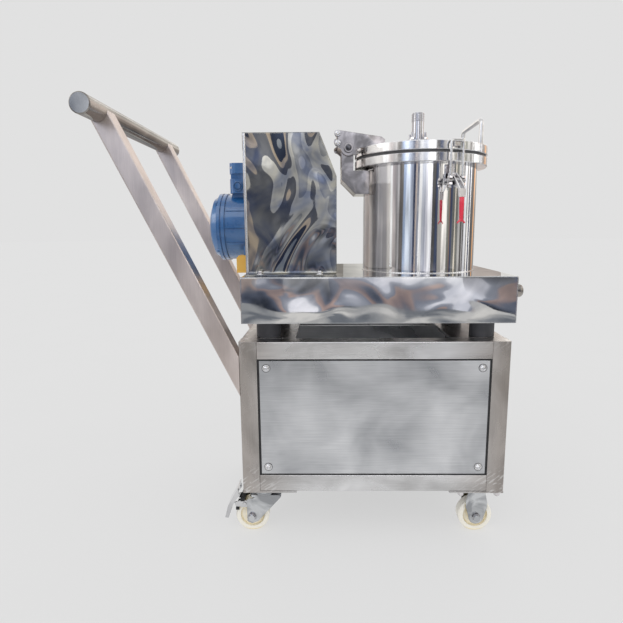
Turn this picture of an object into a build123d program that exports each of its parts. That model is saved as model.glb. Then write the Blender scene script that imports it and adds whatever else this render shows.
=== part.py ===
from build123d import *
import os
from math import atan2, cos, degrees, radians, sin, sqrt

# A small filter centrifuge on a wheeled push cart, all in stainless steel.
# Millimetres. +X is to the right of someone facing the cart's front panel,
# +Y goes away from them and +Z is up. The floor is at z = 0.
# Pieces are drawn about the cart frame's own centre line. save() then moves
# everything so that the origin is the bottom centre of the whole machine.

# Sheet, tube and general clearances
TUBE = 40.0
TUBE_ROUND = 2.5
SHEET = 2.0
RUN_FIT = 0.05
SEAT_GAP = 0.25

# Cart frame
FRAME_WIDTH = 600.0
FRAME_DEPTH = 420.0
FRAME_HEIGHT = 354.0
PANEL_GAP = 3.0
TAB_SIZE = 26.0
TAB_THICK = 3.0
END_PLATE_WIDTH = 84.0
END_PLATE_THICK = 6.0
PAD_WIDTH = 124.0
PAD_DEPTH = 100.0
PAD_THICK = 4.0

# Casters
CASTER_HEIGHT = 118.0
CASTER_PLATE_LONG = 100.0
CASTER_PLATE_WIDE = 80.0
CASTER_PLATE_THICK = 3.5
CASTER_INSET_Y = 50.0
FIXED_INSET_X = 50.0
SWIVEL_INSET_X = 44.0
SWIVEL_TRAIL = 30.0
WHEEL_DIAMETER = 80.0
WHEEL_WIDTH = 28.0
WHEEL_HUB_WIDTH = 35.0
WHEEL_HUB_DIAMETER = 30.0
WHEEL_RECESS = 6.0
WHEEL_RIM = 11.0
AXLE_DIAMETER = 10.0
AXLE_HEAD = 15.0
AXLE_HEAD_THICK = 9.0
FORK_INNER = 36.0
FORK_SHEET = 3.0
FORK_TIP = 18.0
FORK_WAIST = 50.0
FORK_LEFT = 12.0
CROWN_RIGHT = 40.0
PLATE_SHIFT = 6.0
RACE_DIAMETER = 56.0
RACE_HEIGHT = 19.0
KINGPIN_DIAMETER = 12.0
CROWN_THICK = 6.0
PEDAL_WIDTH = 44.0
PEDAL_THICK = 3.0
PEDAL_OUT = 61.5
PEDAL_GAP = 2.5
PEDAL_DROP = 74.0
LUG_REACH = 26.0

# Rubber mounts and deck
MOUNT_DIAMETER = 56.0
MOUNT_HEIGHT = 41.0
MOUNT_INSET_X = 52.0
MOUNT_INSET_Y = 72.0
DECK_WIDTH = 600.0
DECK_DEPTH = 420.0
DECK_HEIGHT = 102.0
DECK_SHIFT = 7.5
DECK_PLATE_WIDTH = 100.0
DECK_PLATE_THICK = 5.0
DECK_LIP = 14.0
OUTLET_DIAMETER = 30.0
OUTLET_REACH = 36.0
OUTLET_BACK = 70.0
OUTLET_RISE = 62.0

# Push handle
BAR_DIAMETER = 42.0
BAR_OUT = 274.0
BAR_HEIGHT = 961.0
BAR_OVERHANG = 67.0
BAR_CAP_THICK = 4.0
HANDLE_FOOT_DROP = 79.0

# Guard over the motor
GUARD_LEFT = -286.0
GUARD_RIGHT = -82.0
GUARD_HEIGHT = 308.0
GUARD_CHAMFER_X = 37.0
GUARD_CHAMFER_Z = 92.0
GUARD_DEPTH = 320.0
GUARD_FLANGE = 26.0
GUARD_BEND = 6.0

# Motor
MOTOR_DIAMETER = 160.0
MOTOR_AXIS_RISE = 108.5
MOTOR_LEFT = -349.0
MOTOR_LENGTH = 234.0
END_RING_DIAMETER = 166.0
END_RING_THICK = 8.0
END_RING_GAP = 3.0
END_STEP_DIAMETER = 156.0
END_STEP_THICK = 13.0
DOME_DEPTH = 12.0
DOME_DIAMETER = 124.0
TERMINAL_LENGTH = 118.0
TERMINAL_WIDTH = 106.0
TERMINAL_HEIGHT = 71.0
TERMINAL_IN = 10.0
TERMINAL_WAIST = 4.0
TERMINAL_SPLIT = 34.0
TERMINAL_SEAM = 12.0
MOTOR_FOOT = 22.0
BLOCK_LENGTH = 190.0
BLOCK_WIDTH = 34.0
BLOCK_HEIGHT = 41.5
BLOCK_SPREAD = 150.0
BLOCK_OUT = 29.5

# Vessel
SHELL_DIAMETER = 276.0
SHELL_WALL = 3.0
SHELL_HEIGHT = 246.0
SHELL_FLOOR = 8.0
FLANGE_OVERHANG = 22.0
FLANGE_THICK = 20.0
RIM_BREAK = 1.5
GASKET_THICK = 5.0
GASKET_MARGIN = 4.0
LID_THICK = 20.0
LID_RIM = 30.0
LID_DISH = 24.0
LID_WALL = 3.0
NOZZLE_DIAMETER = 30.0
NOZZLE_BORE = 22.0
NOZZLE_TOP = 96.5
NOZZLE_BACK = 35.0
NOZZLE_FLANGE_DIAMETER = 64.0
NOZZLE_FLANGE_THICK = 7.0
NOZZLE_STUD_CIRCLE = 46.0
NOZZLE_STUD_DIAMETER = 6.0
NOZZLE_STUD_HEIGHT = 18.0
LID_HANDLE_ROD = 10.0
LID_HANDLE_INSET = 34.0
LID_HANDLE_LENGTH = 154.0
LID_HANDLE_HEIGHT = 57.0
LID_HANDLE_BEND = 12.0

# Filter basket
BASKET_DIAMETER = 200.0
BASKET_WALL = 4.0
BASKET_HEIGHT = 130.0
BASKET_LIP = 18.0
BASKET_RISE = 40.0
BASKET_HOLE = 9.0
BASKET_HOLE_ROWS = 3
BASKET_HOLES_ROUND = 12
HUB_DIAMETER = 56.0
HUB_HEIGHT = 26.0
BEARING_DIAMETER = 120.0
BEARING_DEPTH = 88.0
SHAFT_DIAMETER = 30.0
SHAFT_GAP = 5.0

# Lid hinge
HINGE_OUT = 18.5
HINGE_RISE = 20.0
BRACKET_WIDTH = 100.0
BRACKET_PLATE = 6.0
BRACKET_BACK = 16.5
BRACKET_DROP = 61.0
BRACKET_NOSE = 34.0
BRACKET_BACK_TOP = 41.0
BRACKET_FRONT = 12.0
BRACKET_CLEAR = 6.0
BRACKET_TO_GUARD = 13.5
ARM_PLATE = 6.0
ARM_GAP = 1.0
ARM_EAR = 17.5
ARM_LOBE = 8.0
ARM_LOBE_BACK = 25.5
ARM_TOP_LOBE = 33.0
ARM_LOW_LOBE = 11.5
ARM_REACH = 86.0
ARM_TIP_HEIGHT = 25.0
HINGE_PIN = 12.0
HINGE_HEAD = 16.0
HINGE_HEAD_THICK = 5.0
CROSS_ROD = 7.0
ARM_BOLT_HEAD = 11.0
ARM_BOLT_THICK = 3.0

# Toggle latches
LATCH_ANGLES = (-72.0, 72.0)
LATCH_ROD = 6.0
LATCH_ROD_SPREAD = 30.0
LATCH_ROD_OUT = 8.0
LATCH_BAR_DROP = 1.75
LATCH_PIVOT_DROP = 54.0
LATCH_PIVOT_IN = 8.0
TRUNNION_DROP = 66.0
TRUNNION_DIAMETER = 9.0
CATCH_WIDTH = 16.0
CATCH_NOSE = 0.0
CATCH_THICK = 9.0
HOOK_TAIL = 16.0
LATCH_FOOT = 22.0
LATCH_EAR = 9.0
LEVER_CHEEK = 3.0
LEVER_PIN = 6.0
LEVER_LENGTH = 105.0
LEVER_BOW = 22.0
LEVER_BLADE = 4.0
LEVER_TONGUE = 7.0
GRIP_WIDTH = 12.5
GRIP_THICK = 9.0
GRIP_LENGTH = 56.0
GRIP_FLARE = 20.5

# Places worked out from the sizes above
frame_z0 = CASTER_HEIGHT + PAD_THICK
frame_z1 = frame_z0 + FRAME_HEIGHT
half_w = FRAME_WIDTH / 2
half_d = FRAME_DEPTH / 2
deck_z0 = frame_z1 + MOUNT_HEIGHT
deck_z1 = deck_z0 + DECK_HEIGHT
deck_x0 = DECK_SHIFT - DECK_WIDTH / 2
deck_x1 = DECK_SHIFT + DECK_WIDTH / 2
mount_x = DECK_WIDTH / 2 - MOUNT_INSET_X
mount_y = half_d - MOUNT_INSET_Y
bar_x = -half_w - BAR_OUT
shell_r = SHELL_DIAMETER / 2
flange_r = shell_r + FLANGE_OVERHANG
flange_z0 = deck_z1 + SHELL_HEIGHT
flange_z1 = flange_z0 + FLANGE_THICK
gasket_z1 = flange_z1 + GASKET_THICK
lid_z0 = gasket_z1 + SEAT_GAP
lid_z1 = lid_z0 + LID_THICK
hinge_x = GUARD_RIGHT + BRACKET_TO_GUARD + BRACKET_BACK
vessel_x = hinge_x + HINGE_OUT + flange_r
hinge_z = gasket_z1 + HINGE_RISE
pivot_r = flange_r - LATCH_PIVOT_IN
basket_z0 = deck_z1 + BASKET_RISE
axle_z = WHEEL_DIAMETER / 2
swivel_x = -half_w + SWIVEL_INSET_X
fixed_x = half_w - FIXED_INSET_X
caster_y = half_d - CASTER_INSET_Y

overall_x0 = bar_x - BAR_DIAMETER / 2
overall_x1 = deck_x1 + OUTLET_REACH
ORIGIN_SHIFT = Vector(-(overall_x0 + overall_x1) / 2, 0, 0)

os.makedirs("parts", exist_ok=True)


def save(name, *solids):
    """Write one node, moved to the machine's own origin."""
    flat = []
    for item in solids:
        flat.extend(item.solids())
    moved = [solid.moved(Location(ORIGIN_SHIFT)) for solid in flat]
    shape = moved[0] if len(moved) == 1 else Compound(children=moved)
    export_step(shape, f"parts/{name}.step")


def block(x0, x1, y0, y1, z0, z1):
    """A box between two corners."""
    centre = ((x0 + x1) / 2, (y0 + y1) / 2, (z0 + z1) / 2)
    return Pos(*centre) * Box(abs(x1 - x0), abs(y1 - y0), abs(z1 - z0))


def disc(x, y, z0, z1, radius):
    """An upright cylinder."""
    return Pos(x, y, (z0 + z1) / 2) * Cylinder(radius, z1 - z0)


def rod_y(x, z, y0, y1, radius):
    """A cylinder lying along Y."""
    return Pos(x, (y0 + y1) / 2, z) * Rot(90, 0, 0) * Cylinder(radius, y1 - y0)


def rod_x(y, z, x0, x1, radius):
    """A cylinder lying along X."""
    return Pos((x0 + x1) / 2, y, z) * Rot(0, 90, 0) * Cylinder(radius, x1 - x0)


def plate_xz(points, y0, y1):
    """A flat plate whose outline is drawn in X and Z."""
    wire = Polyline(*[(x, y0, z) for x, z in points], close=True)
    return extrude(make_face(wire), amount=y1 - y0, dir=(0, 1, 0))


def tube_bar(x0, x1, y0, y1, z0, z1):
    """A length of square tube with its long edges rounded."""
    bar = block(x0, x1, y0, y1, z0, z1)
    sizes = (abs(x1 - x0), abs(y1 - y0), abs(z1 - z0))
    axis = (Axis.X, Axis.Y, Axis.Z)[sizes.index(max(sizes))]
    return fillet(bar.edges().filter_by(axis), TUBE_ROUND)


def frame_posts():
    posts = []
    for sx in (-1, 1):
        for sy in (-1, 1):
            posts.append(tube_bar(sx * half_w, sx * (half_w - TUBE), sy * half_d,
                                  sy * (half_d - TUBE), frame_z0, frame_z1))
    save("frame_posts", *posts)


def frame_rails():
    long_rails = []
    side_rails = []
    run_x = half_w - TUBE
    run_y = half_d - TUBE
    for z0 in (frame_z0, frame_z1 - TUBE):
        for side in (-1, 1):
            long_rails.append(tube_bar(-run_x, run_x, side * half_d, side * run_y, z0, z0 + TUBE))
            side_rails.append(tube_bar(side * half_w, side * run_x, -run_y, run_y, z0, z0 + TUBE))
    save("frame_long_rails", *long_rails)
    save("frame_side_rails", *side_rails)


def frame_end_plates():
    """Plates between the top rails that the rubber mounts stand on."""
    plates = []
    for side in (-1, 1):
        outer = side * (half_w - TUBE)
        inner = side * (half_w - TUBE - END_PLATE_WIDTH)
        plates.append(block(inner, outer, -(half_d - TUBE), half_d - TUBE,
                            frame_z1 - END_PLATE_THICK, frame_z1))
    save("frame_end_plates", *plates)


def panels():
    """Closing sheets set into the openings, and the corner tabs that hold them."""
    z0 = frame_z0 + TUBE
    z1 = frame_z1 - TUBE
    long_edge = half_w - TUBE
    side_edge = half_d - TUBE
    tabs = []
    for side, name in ((-1, "front_panel"), (1, "rear_panel")):
        y_out = side * (half_d - 1.0)
        save(name, block(-long_edge + PANEL_GAP, long_edge - PANEL_GAP, y_out, y_out - side * SHEET,
                         z0 + PANEL_GAP, z1 - PANEL_GAP))
        y_tab = y_out - side * SHEET
        for sx in (-1, 1):
            for z, dz in ((z0, TAB_SIZE), (z1, -TAB_SIZE)):
                tabs.append(block(sx * long_edge, sx * (long_edge - TAB_SIZE), y_tab,
                                  y_tab - side * TAB_THICK, z, z + dz))
    sides = []
    for side in (-1, 1):
        x_out = side * (half_w - 1.0)
        sides.append(block(x_out, x_out - side * SHEET, -side_edge + PANEL_GAP, side_edge - PANEL_GAP,
                           z0 + PANEL_GAP, z1 - PANEL_GAP))
        x_tab = x_out - side * SHEET
        for sy in (-1, 1):
            for z, dz in ((z0, TAB_SIZE), (z1, -TAB_SIZE)):
                tabs.append(block(x_tab, x_tab - side * TAB_THICK, sy * side_edge,
                                  sy * (side_edge - TAB_SIZE), z, z + dz))
    save("side_panels", *sides)
    save("panel_tabs", *tabs)


def caster_pads():
    pads = []
    for sx in (-1, 1):
        for sy in (-1, 1):
            pads.append(block(sx * half_w, sx * (half_w - PAD_WIDTH), sy * half_d,
                              sy * (half_d - PAD_DEPTH), CASTER_HEIGHT, frame_z0))
    save("caster_pads", *pads)


def rubber_mounts():
    mounts = []
    for sx in (-1, 1):
        for sy in (-1, 1):
            mounts.append(disc(DECK_SHIFT + sx * mount_x, sy * mount_y, frame_z1, deck_z0,
                               MOUNT_DIAMETER / 2))
    save("rubber_mounts", *mounts)


def deck():
    """The folded deck: a top and four skirts with a lip turned in at the bottom."""
    half = DECK_DEPTH / 2
    outer = block(deck_x0, deck_x1, -half, half, deck_z0, deck_z1)
    outer = fillet(outer.edges().filter_by(Axis.Z) + outer.edges().group_by(Axis.Z)[-1], 3.0)
    inner = block(deck_x0 + SHEET, deck_x1 - SHEET, -half + SHEET, half - SHEET,
                  deck_z0 + SHEET, deck_z1 - SHEET)
    mouth = block(deck_x0 + DECK_LIP, deck_x1 - DECK_LIP, -half + DECK_LIP, half - DECK_LIP,
                  deck_z0 - 1, deck_z0 + SHEET + 1)
    shaft_hole = disc(vessel_x, 0, deck_z1 - SHEET - 1, deck_z1 + 1, SHAFT_DIAMETER / 2 + SHAFT_GAP)
    save("deck_shell", outer - inner - mouth - shaft_hole)
    plates = []
    for side in (-1, 1):
        edge = DECK_SHIFT + side * (DECK_WIDTH / 2 - DECK_LIP)
        plates.append(block(edge, edge - side * DECK_PLATE_WIDTH, -half + DECK_LIP, half - DECK_LIP,
                            deck_z0, deck_z0 + DECK_PLATE_THICK))
    save("deck_mount_plates", *plates)


def outlet():
    """The capped outlet stub low on the right skirt."""
    y = -DECK_DEPTH / 2 + OUTLET_BACK
    z = deck_z0 + OUTLET_RISE
    r = OUTLET_DIAMETER / 2
    stub = rod_x(y, z, deck_x1, deck_x1 + OUTLET_REACH, r)
    save("outlet_stub", fillet(stub.faces().sort_by(Axis.X)[-1].edges(), r * 0.6))


def guard():
    """Folded motor guard, open to the left and below, with feet turned out."""
    half = GUARD_DEPTH / 2
    z1 = deck_z1 + GUARD_HEIGHT
    profile = [(GUARD_LEFT, deck_z1), (GUARD_RIGHT, deck_z1), (GUARD_RIGHT, z1 - GUARD_CHAMFER_Z),
               (GUARD_RIGHT - GUARD_CHAMFER_X, z1), (GUARD_LEFT, z1)]
    t = SHEET
    inside = [(GUARD_LEFT - 1, deck_z1 - 1), (GUARD_RIGHT - t, deck_z1 - 1),
              (GUARD_RIGHT - t, z1 - GUARD_CHAMFER_Z - 0.5),
              (GUARD_RIGHT - GUARD_CHAMFER_X - 0.7 * t, z1 - t), (GUARD_LEFT - 1, z1 - t)]
    skin = plate_xz(profile, -half, half) - plate_xz(inside, -half + t, half - t)
    for side in (-1, 1):
        foot = block(GUARD_LEFT, GUARD_RIGHT, side * half, side * (half + GUARD_FLANGE),
                     deck_z1, deck_z1 + 3.0)
        skin = skin + foot
    corner = skin.edges().filter_by(Axis.X).filter_by(
        lambda e: abs(abs(e.center().Y) - half) < 0.1 and abs(e.center().Z - deck_z1 - 3.0) < 0.1)
    save("guard_cover", fillet(corner, GUARD_BEND))


def motor():
    z = deck_z1 + MOTOR_AXIS_RISE
    x1 = MOTOR_LEFT + MOTOR_LENGTH
    r = MOTOR_DIAMETER / 2
    body = rod_x(0, z, MOTOR_LEFT, x1, r)
    body = chamfer(body.faces().sort_by(Axis.X)[-1].edges(), 12.0)
    for side in (-1, 1):
        y_mid = side * BLOCK_SPREAD / 2
        foot = block(MOTOR_LEFT + 48, x1 - 20, y_mid - BLOCK_WIDTH / 2, y_mid + BLOCK_WIDTH / 2,
                     deck_z1 + BLOCK_HEIGHT, deck_z1 + BLOCK_HEIGHT + MOTOR_FOOT)
        body = body + foot
    half = TERMINAL_WIDTH * 0.35
    neck_x = MOTOR_LEFT + TERMINAL_IN
    neck = block(neck_x + TERMINAL_WAIST, neck_x + TERMINAL_LENGTH - TERMINAL_WAIST, -half, half, z, z + r)
    save("motor_body", body + neck)
    motor_end_cover(z)
    terminal_box(neck_x, z + r)


def motor_end_cover(z):
    """Two rings, a step and a dome, turned as one piece on the motor's axis."""
    ring = END_RING_DIAMETER / 2
    root = MOTOR_DIAMETER / 2
    dome = DOME_DIAMETER / 2
    steps = [(0, 0), (0, ring), (END_RING_THICK, ring), (END_RING_THICK, root),
             (END_RING_THICK + END_RING_GAP, root), (END_RING_THICK + END_RING_GAP, ring),
             (2 * END_RING_THICK + END_RING_GAP, ring)]
    depth = 2 * END_RING_THICK + END_RING_GAP
    steps += [(depth, END_STEP_DIAMETER / 2), (depth + END_STEP_THICK, END_STEP_DIAMETER / 2 - 7)]
    depth = depth + END_STEP_THICK
    steps += [(depth, dome), (depth + DOME_DEPTH * 0.6, dome * 0.86), (depth + DOME_DEPTH, dome * 0.5),
              (depth + DOME_DEPTH, 0)]
    wire = Polyline(*[(MOTOR_LEFT - out, 0, z + high) for out, high in steps], close=True)
    save("motor_end_cover", revolve(make_face(wire), axis=Axis((0, 0, z), (1, 0, 0))))


def terminal_box(x0, z0):
    """Lower half, narrow waist and cover of the box on top of the motor."""
    half = TERMINAL_WIDTH / 2
    box = block(x0, x0 + TERMINAL_LENGTH, -half, half, z0, z0 + TERMINAL_HEIGHT)
    box = fillet(box.edges().filter_by(Axis.Z), 16.0)
    split = z0 + TERMINAL_SPLIT
    waist = block(x0 - 1, x0 + TERMINAL_LENGTH + 1, -half - 1, half + 1, split, split + TERMINAL_SEAM)
    core = block(x0 + TERMINAL_WAIST, x0 + TERMINAL_LENGTH - TERMINAL_WAIST, -half + TERMINAL_WAIST,
                 half - TERMINAL_WAIST, split, split + TERMINAL_SEAM)
    save("terminal_box", (box - waist) + (box & core))


def motor_blocks():
    blocks = []
    x0 = MOTOR_LEFT + BLOCK_OUT
    for side in (-1, 1):
        y_mid = side * BLOCK_SPREAD / 2
        solid = block(x0, x0 + BLOCK_LENGTH, y_mid - BLOCK_WIDTH / 2, y_mid + BLOCK_WIDTH / 2,
                      deck_z1, deck_z1 + BLOCK_HEIGHT)
        corner = solid.edges().filter_by(Axis.Y).group_by(Axis.Z)[-1].sort_by(Axis.X)[0]
        blocks.append(chamfer(corner, 6.0))
    save("motor_blocks", *blocks)


def vessel():
    """The round housing: shell, floor, bolting flange and gasket."""
    outer = disc(vessel_x, 0, deck_z1, flange_z0, shell_r)
    room = disc(vessel_x, 0, deck_z1 + SHELL_FLOOR, flange_z0 + 1, shell_r - SHELL_WALL)
    hole = disc(vessel_x, 0, deck_z1 - 1, deck_z1 + SHELL_FLOOR + 1, SHAFT_DIAMETER / 2 + SHAFT_GAP)
    save("vessel_shell", outer - room - hole)
    ring = disc(vessel_x, 0, flange_z0, flange_z1, flange_r)
    ring = ring - disc(vessel_x, 0, flange_z0 - 1, flange_z1 + 1, shell_r - SHELL_WALL)
    rims = ring.edges().filter_by(GeomType.CIRCLE).sort_by(SortBy.RADIUS)[-2:]
    save("vessel_flange", chamfer(rims, RIM_BREAK))
    seal = disc(vessel_x, 0, flange_z1, gasket_z1, flange_r - GASKET_MARGIN)
    save("vessel_gasket", seal - disc(vessel_x, 0, flange_z1 - 1, gasket_z1 + 1, shell_r - SHELL_WALL))


def dish_solid(rim_r, rise, base_z, thick):
    """A spherical cap of the given rise on a circle of radius rim_r."""
    ball_r = (rim_r ** 2 + rise ** 2) / (2 * rise)
    centre_z = base_z + rise - ball_r
    ball = Pos(vessel_x, 0, centre_z) * Sphere(ball_r)
    return ball & disc(vessel_x, 0, base_z, base_z + rise + thick, rim_r)


def lid():
    dish_r = flange_r - LID_RIM
    rim = disc(vessel_x, 0, lid_z0, lid_z1, flange_r)
    rims = rim.edges().filter_by(GeomType.CIRCLE)
    rim = chamfer(rims, RIM_BREAK)
    rim = rim - disc(vessel_x, 0, lid_z0 - 1, lid_z1 + 1, dish_r - LID_WALL)
    cap = dish_solid(dish_r, LID_DISH, lid_z1 - LID_WALL, LID_WALL)
    under = dish_solid(dish_r - LID_WALL, LID_DISH - LID_WALL, lid_z1 - LID_WALL, LID_WALL)
    plate = rim + (cap - under)
    return plate


def lid_pieces():
    plate = lid()
    y = NOZZLE_BACK
    bore = disc(vessel_x, y, lid_z0, lid_z1 + NOZZLE_TOP + 1, NOZZLE_BORE / 2)
    seat_z = lid_z1 - LID_WALL + LID_DISH
    neck = disc(vessel_x, y, lid_z1 - LID_WALL + 8, seat_z + NOZZLE_FLANGE_THICK + 2, NOZZLE_FLANGE_DIAMETER / 2)
    plate = plate - bore
    flange = neck - dish_solid(flange_r - LID_RIM, LID_DISH, lid_z1 - LID_WALL, LID_WALL)
    pipe = disc(vessel_x, y, seat_z, lid_z1 + NOZZLE_TOP, NOZZLE_DIAMETER / 2)
    pipe = chamfer(pipe.faces().sort_by(Axis.Z)[-1].edges(), 1.0)
    nozzle = flange + pipe
    top = seat_z + NOZZLE_FLANGE_THICK + 2
    for k in range(4):
        a = radians(45 + 90 * k)
        sx = vessel_x + cos(a) * NOZZLE_STUD_CIRCLE / 2
        sy = y + sin(a) * NOZZLE_STUD_CIRCLE / 2
        nozzle = nozzle + disc(sx, sy, top - 1, top + NOZZLE_STUD_HEIGHT, NOZZLE_STUD_DIAMETER / 2)
    save("lid_plate", plate)
    save("feed_nozzle", nozzle - bore)

    x = vessel_x + flange_r - LID_HANDLE_INSET
    half = LID_HANDLE_LENGTH / 2
    top_z = lid_z1 + LID_HANDLE_HEIGHT
    path = FilletPolyline((x, -half, lid_z1), (x, -half, top_z), (x, half, top_z), (x, half, lid_z1),
                          radius=LID_HANDLE_BEND)
    start = Plane(origin=(x, -half, lid_z1), z_dir=(0, 0, 1))
    save("lid_handle", sweep(start * Circle(LID_HANDLE_ROD / 2), path=path))


def hinge_bracket():
    """Folded channel on the shell that carries the hinge pin."""
    half = BRACKET_WIDTH / 2
    t = BRACKET_PLATE
    x0 = hinge_x - BRACKET_BACK
    x1 = vessel_x - sqrt((shell_r - SHELL_WALL) ** 2 - half ** 2)
    low_z = flange_z0 - BRACKET_DROP
    top_z = flange_z0 - BRACKET_CLEAR
    nose = low_z + BRACKET_NOSE
    step = t * 0.41
    cheek = [(x0, hinge_z), (x0, nose), (x0 + BRACKET_NOSE, low_z), (x1, low_z), (x1, top_z),
             (hinge_x + BRACKET_FRONT, top_z), (hinge_x + BRACKET_FRONT, hinge_z)]
    room = [(x0 + t, hinge_z + 40), (x0 + t, nose + step), (x0 + BRACKET_NOSE + step, low_z + t),
            (x1 + 10, low_z + t), (x1 + 10, hinge_z + 40)]
    bracket = plate_xz(cheek, -half, half) + rod_y(hinge_x, hinge_z, -half, half, BRACKET_BACK)
    bracket = bracket - plate_xz(room, -half + t, half - t)
    throat = block(x0 - 1, hinge_x + BRACKET_BACK + 1, -half + t, half - t, hinge_z - BRACKET_BACK_TOP,
                   hinge_z + BRACKET_BACK + 1)
    bracket = bracket - throat - disc(vessel_x, 0, low_z - 1, flange_z0 + 1, shell_r)
    bracket = bracket - rod_y(hinge_x, hinge_z, -half - 1, half + 1, HINGE_PIN / 2 + RUN_FIT)
    flange_cut = disc(vessel_x, 0, top_z, hinge_z + BRACKET_BACK_TOP, flange_r + 2.0)
    save("hinge_bracket", bracket - flange_cut)


def hinge_arms():
    """Two arms on the lid with a tie rod across their tops and a bolt through each lower lobe."""
    y0 = BRACKET_WIDTH / 2 + ARM_GAP
    y1 = y0 + ARM_PLATE
    hx, hz = hinge_x, hinge_z
    back = hx - ARM_LOBE_BACK
    low = hz + ARM_LOW_LOBE
    high = hz + ARM_TOP_LOBE
    front = hx + HINGE_OUT - ARM_GAP
    tip = hx + ARM_REACH
    outline = [(back, high + ARM_LOBE), (back, low - ARM_LOBE), (hx, hz - ARM_EAR), (front - 4, hz - ARM_EAR + 3),
               (front, lid_z0), (front, lid_z1), (tip, lid_z1), (tip, hz + ARM_TIP_HEIGHT - 6),
               (tip - 8, hz + ARM_TIP_HEIGHT)]
    arms = []
    for side in (-1, 1):
        ya, yb = sorted((side * y0, side * y1))
        web = plate_xz(outline, ya, yb) + rod_y(hx, hz, ya, yb, ARM_EAR)
        for z in (low, high):
            web = web + rod_y(back, z, ya, yb, ARM_LOBE)
            ha, hb = sorted((side * y1, side * (y1 + ARM_BOLT_THICK)))
            web = web + rod_y(back, z, ha, hb, ARM_BOLT_HEAD / 2)
        web = web - rod_y(hx, hz, ya - 1, yb + 1, HINGE_PIN / 2 + RUN_FIT)
        web = web - disc(vessel_x, 0, lid_z0 - 5, lid_z1, flange_r)
        web = web - dish_solid(flange_r - LID_RIM, LID_DISH, lid_z1 - LID_WALL, LID_WALL)
        arms.append(web)
    rod = rod_y(back, high, -y0, y0, CROSS_ROD / 2)
    save("hinge_arms", arms[0] + arms[1] + rod)


def hinge_pin():
    end = BRACKET_WIDTH / 2 + ARM_GAP + ARM_PLATE + 0.5
    pin = rod_y(hinge_x, hinge_z, -end, end, HINGE_PIN / 2)
    for side in (-1, 1):
        ya, yb = sorted((side * end, side * (end + HINGE_HEAD_THICK)))
        pin = pin + rod_y(hinge_x, hinge_z, ya, yb, HINGE_HEAD / 2)
    save("hinge_pin", pin)


def latch_place(angle):
    """Turn local latch axes (x outwards, y along the rim) to their place on the rim."""
    return Pos(vessel_x, 0, 0) * Rot(0, 0, angle)


def latch_catch(rod_r, bar_z):
    """The hooked block on the lid's rim that the hook pulls down on."""
    half = CATCH_WIDTH / 2
    top = bar_z - LATCH_ROD / 2 - SEAT_GAP
    inner = flange_r - 4
    catch = block(inner, rod_r + CATCH_NOSE, -half, half, top - CATCH_THICK, top)
    catch = catch + block(inner, rod_r - LATCH_ROD / 2 - 1.5, -half, half, top, bar_z + 1)
    return catch - disc(0, 0, lid_z0 - 1, lid_z1 + 1, flange_r)


def latch_base(pivot_z):
    """A foot on the shell with the ear that carries the lever."""
    inner = shell_r - 4
    top = flange_z0 - 4
    half = LATCH_EAR / 2
    base = block(inner, pivot_r, -half, half, pivot_z - 6, top)
    base = base + rod_y(pivot_r, pivot_z, -half, half, 7.0)
    foot = block(inner, shell_r + 3, -LATCH_FOOT / 2, LATCH_FOOT / 2, pivot_z - 10, top)
    base = (base + foot) - disc(0, 0, deck_z1, flange_z0, shell_r)
    return base - rod_y(pivot_r, pivot_z, -half - 1, half + 1, LEVER_PIN / 2 + RUN_FIT)


def latch_lever(rod_r, pivot_z, trunnion_z):
    """Two bowed cheeks, the pin through the base and the tongue inside the grip."""
    y_in = LATCH_EAR / 2 + 0.5
    y_out = y_in + LEVER_CHEEK
    bow_r = rod_r + LEVER_BOW
    low_z = pivot_z - LEVER_LENGTH
    grip_top = low_z + GRIP_LENGTH
    outline = [(pivot_r - 5, pivot_z + 5), (pivot_r + 5, pivot_z + 6), (rod_r + 7, trunnion_z + 3),
               (bow_r + LEVER_BLADE, trunnion_z - 19), (bow_r + LEVER_BLADE, grip_top),
               (bow_r, grip_top), (bow_r - 2, trunnion_z - 20), (rod_r - 5, trunnion_z - 9),
               (pivot_r - 6, pivot_z - 4)]
    lever = rod_y(pivot_r, pivot_z, -y_out - 1.5, y_out + 1.5, LEVER_PIN / 2)
    for side in (-1, 1):
        ya, yb = sorted((side * y_in, side * y_out))
        cheek = plate_xz(outline, ya, yb)
        lever = lever + (cheek - rod_y(rod_r, trunnion_z, ya - 1, yb + 1, TRUNNION_DIAMETER / 2 + RUN_FIT))
    web = block(bow_r, bow_r + LEVER_BLADE, -y_out, y_out, grip_top, trunnion_z - 19)
    tongue = block(bow_r, bow_r + LEVER_BLADE, -LEVER_TONGUE / 2, LEVER_TONGUE / 2, low_z + 10, grip_top)
    return lever + web + tongue


def latch_grip(rod_r, pivot_z):
    """Moulded grip that widens to a notched end, drawn flat and then given its thickness."""
    bow_r = rod_r + LEVER_BOW
    low_z = pivot_z - LEVER_LENGTH
    top = low_z + GRIP_LENGTH
    half = GRIP_WIDTH / 2
    wide = GRIP_FLARE / 2
    inner = bow_r + LEVER_BLADE / 2 - GRIP_THICK / 2
    side = [(half, top), (half, low_z + 17), (wide, low_z + 3), (wide - 3, low_z), (2.5, low_z + 5)]
    points = side + [(-y, z) for y, z in reversed(side)]
    wire = Polyline(*[(inner, y, z) for y, z in points], close=True)
    grip = extrude(make_face(wire), amount=GRIP_THICK, dir=(1, 0, 0))
    long_edges = grip.edges().filter_by(
        lambda e: e.center().Z > low_z + 6 and abs(e.center().Y) > half - 0.1 and e.length > 12)
    grip = fillet(long_edges, 2.5)
    return grip - block(bow_r, bow_r + LEVER_BLADE, -LEVER_TONGUE / 2, LEVER_TONGUE / 2, low_z + 10, top + 1)


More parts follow.
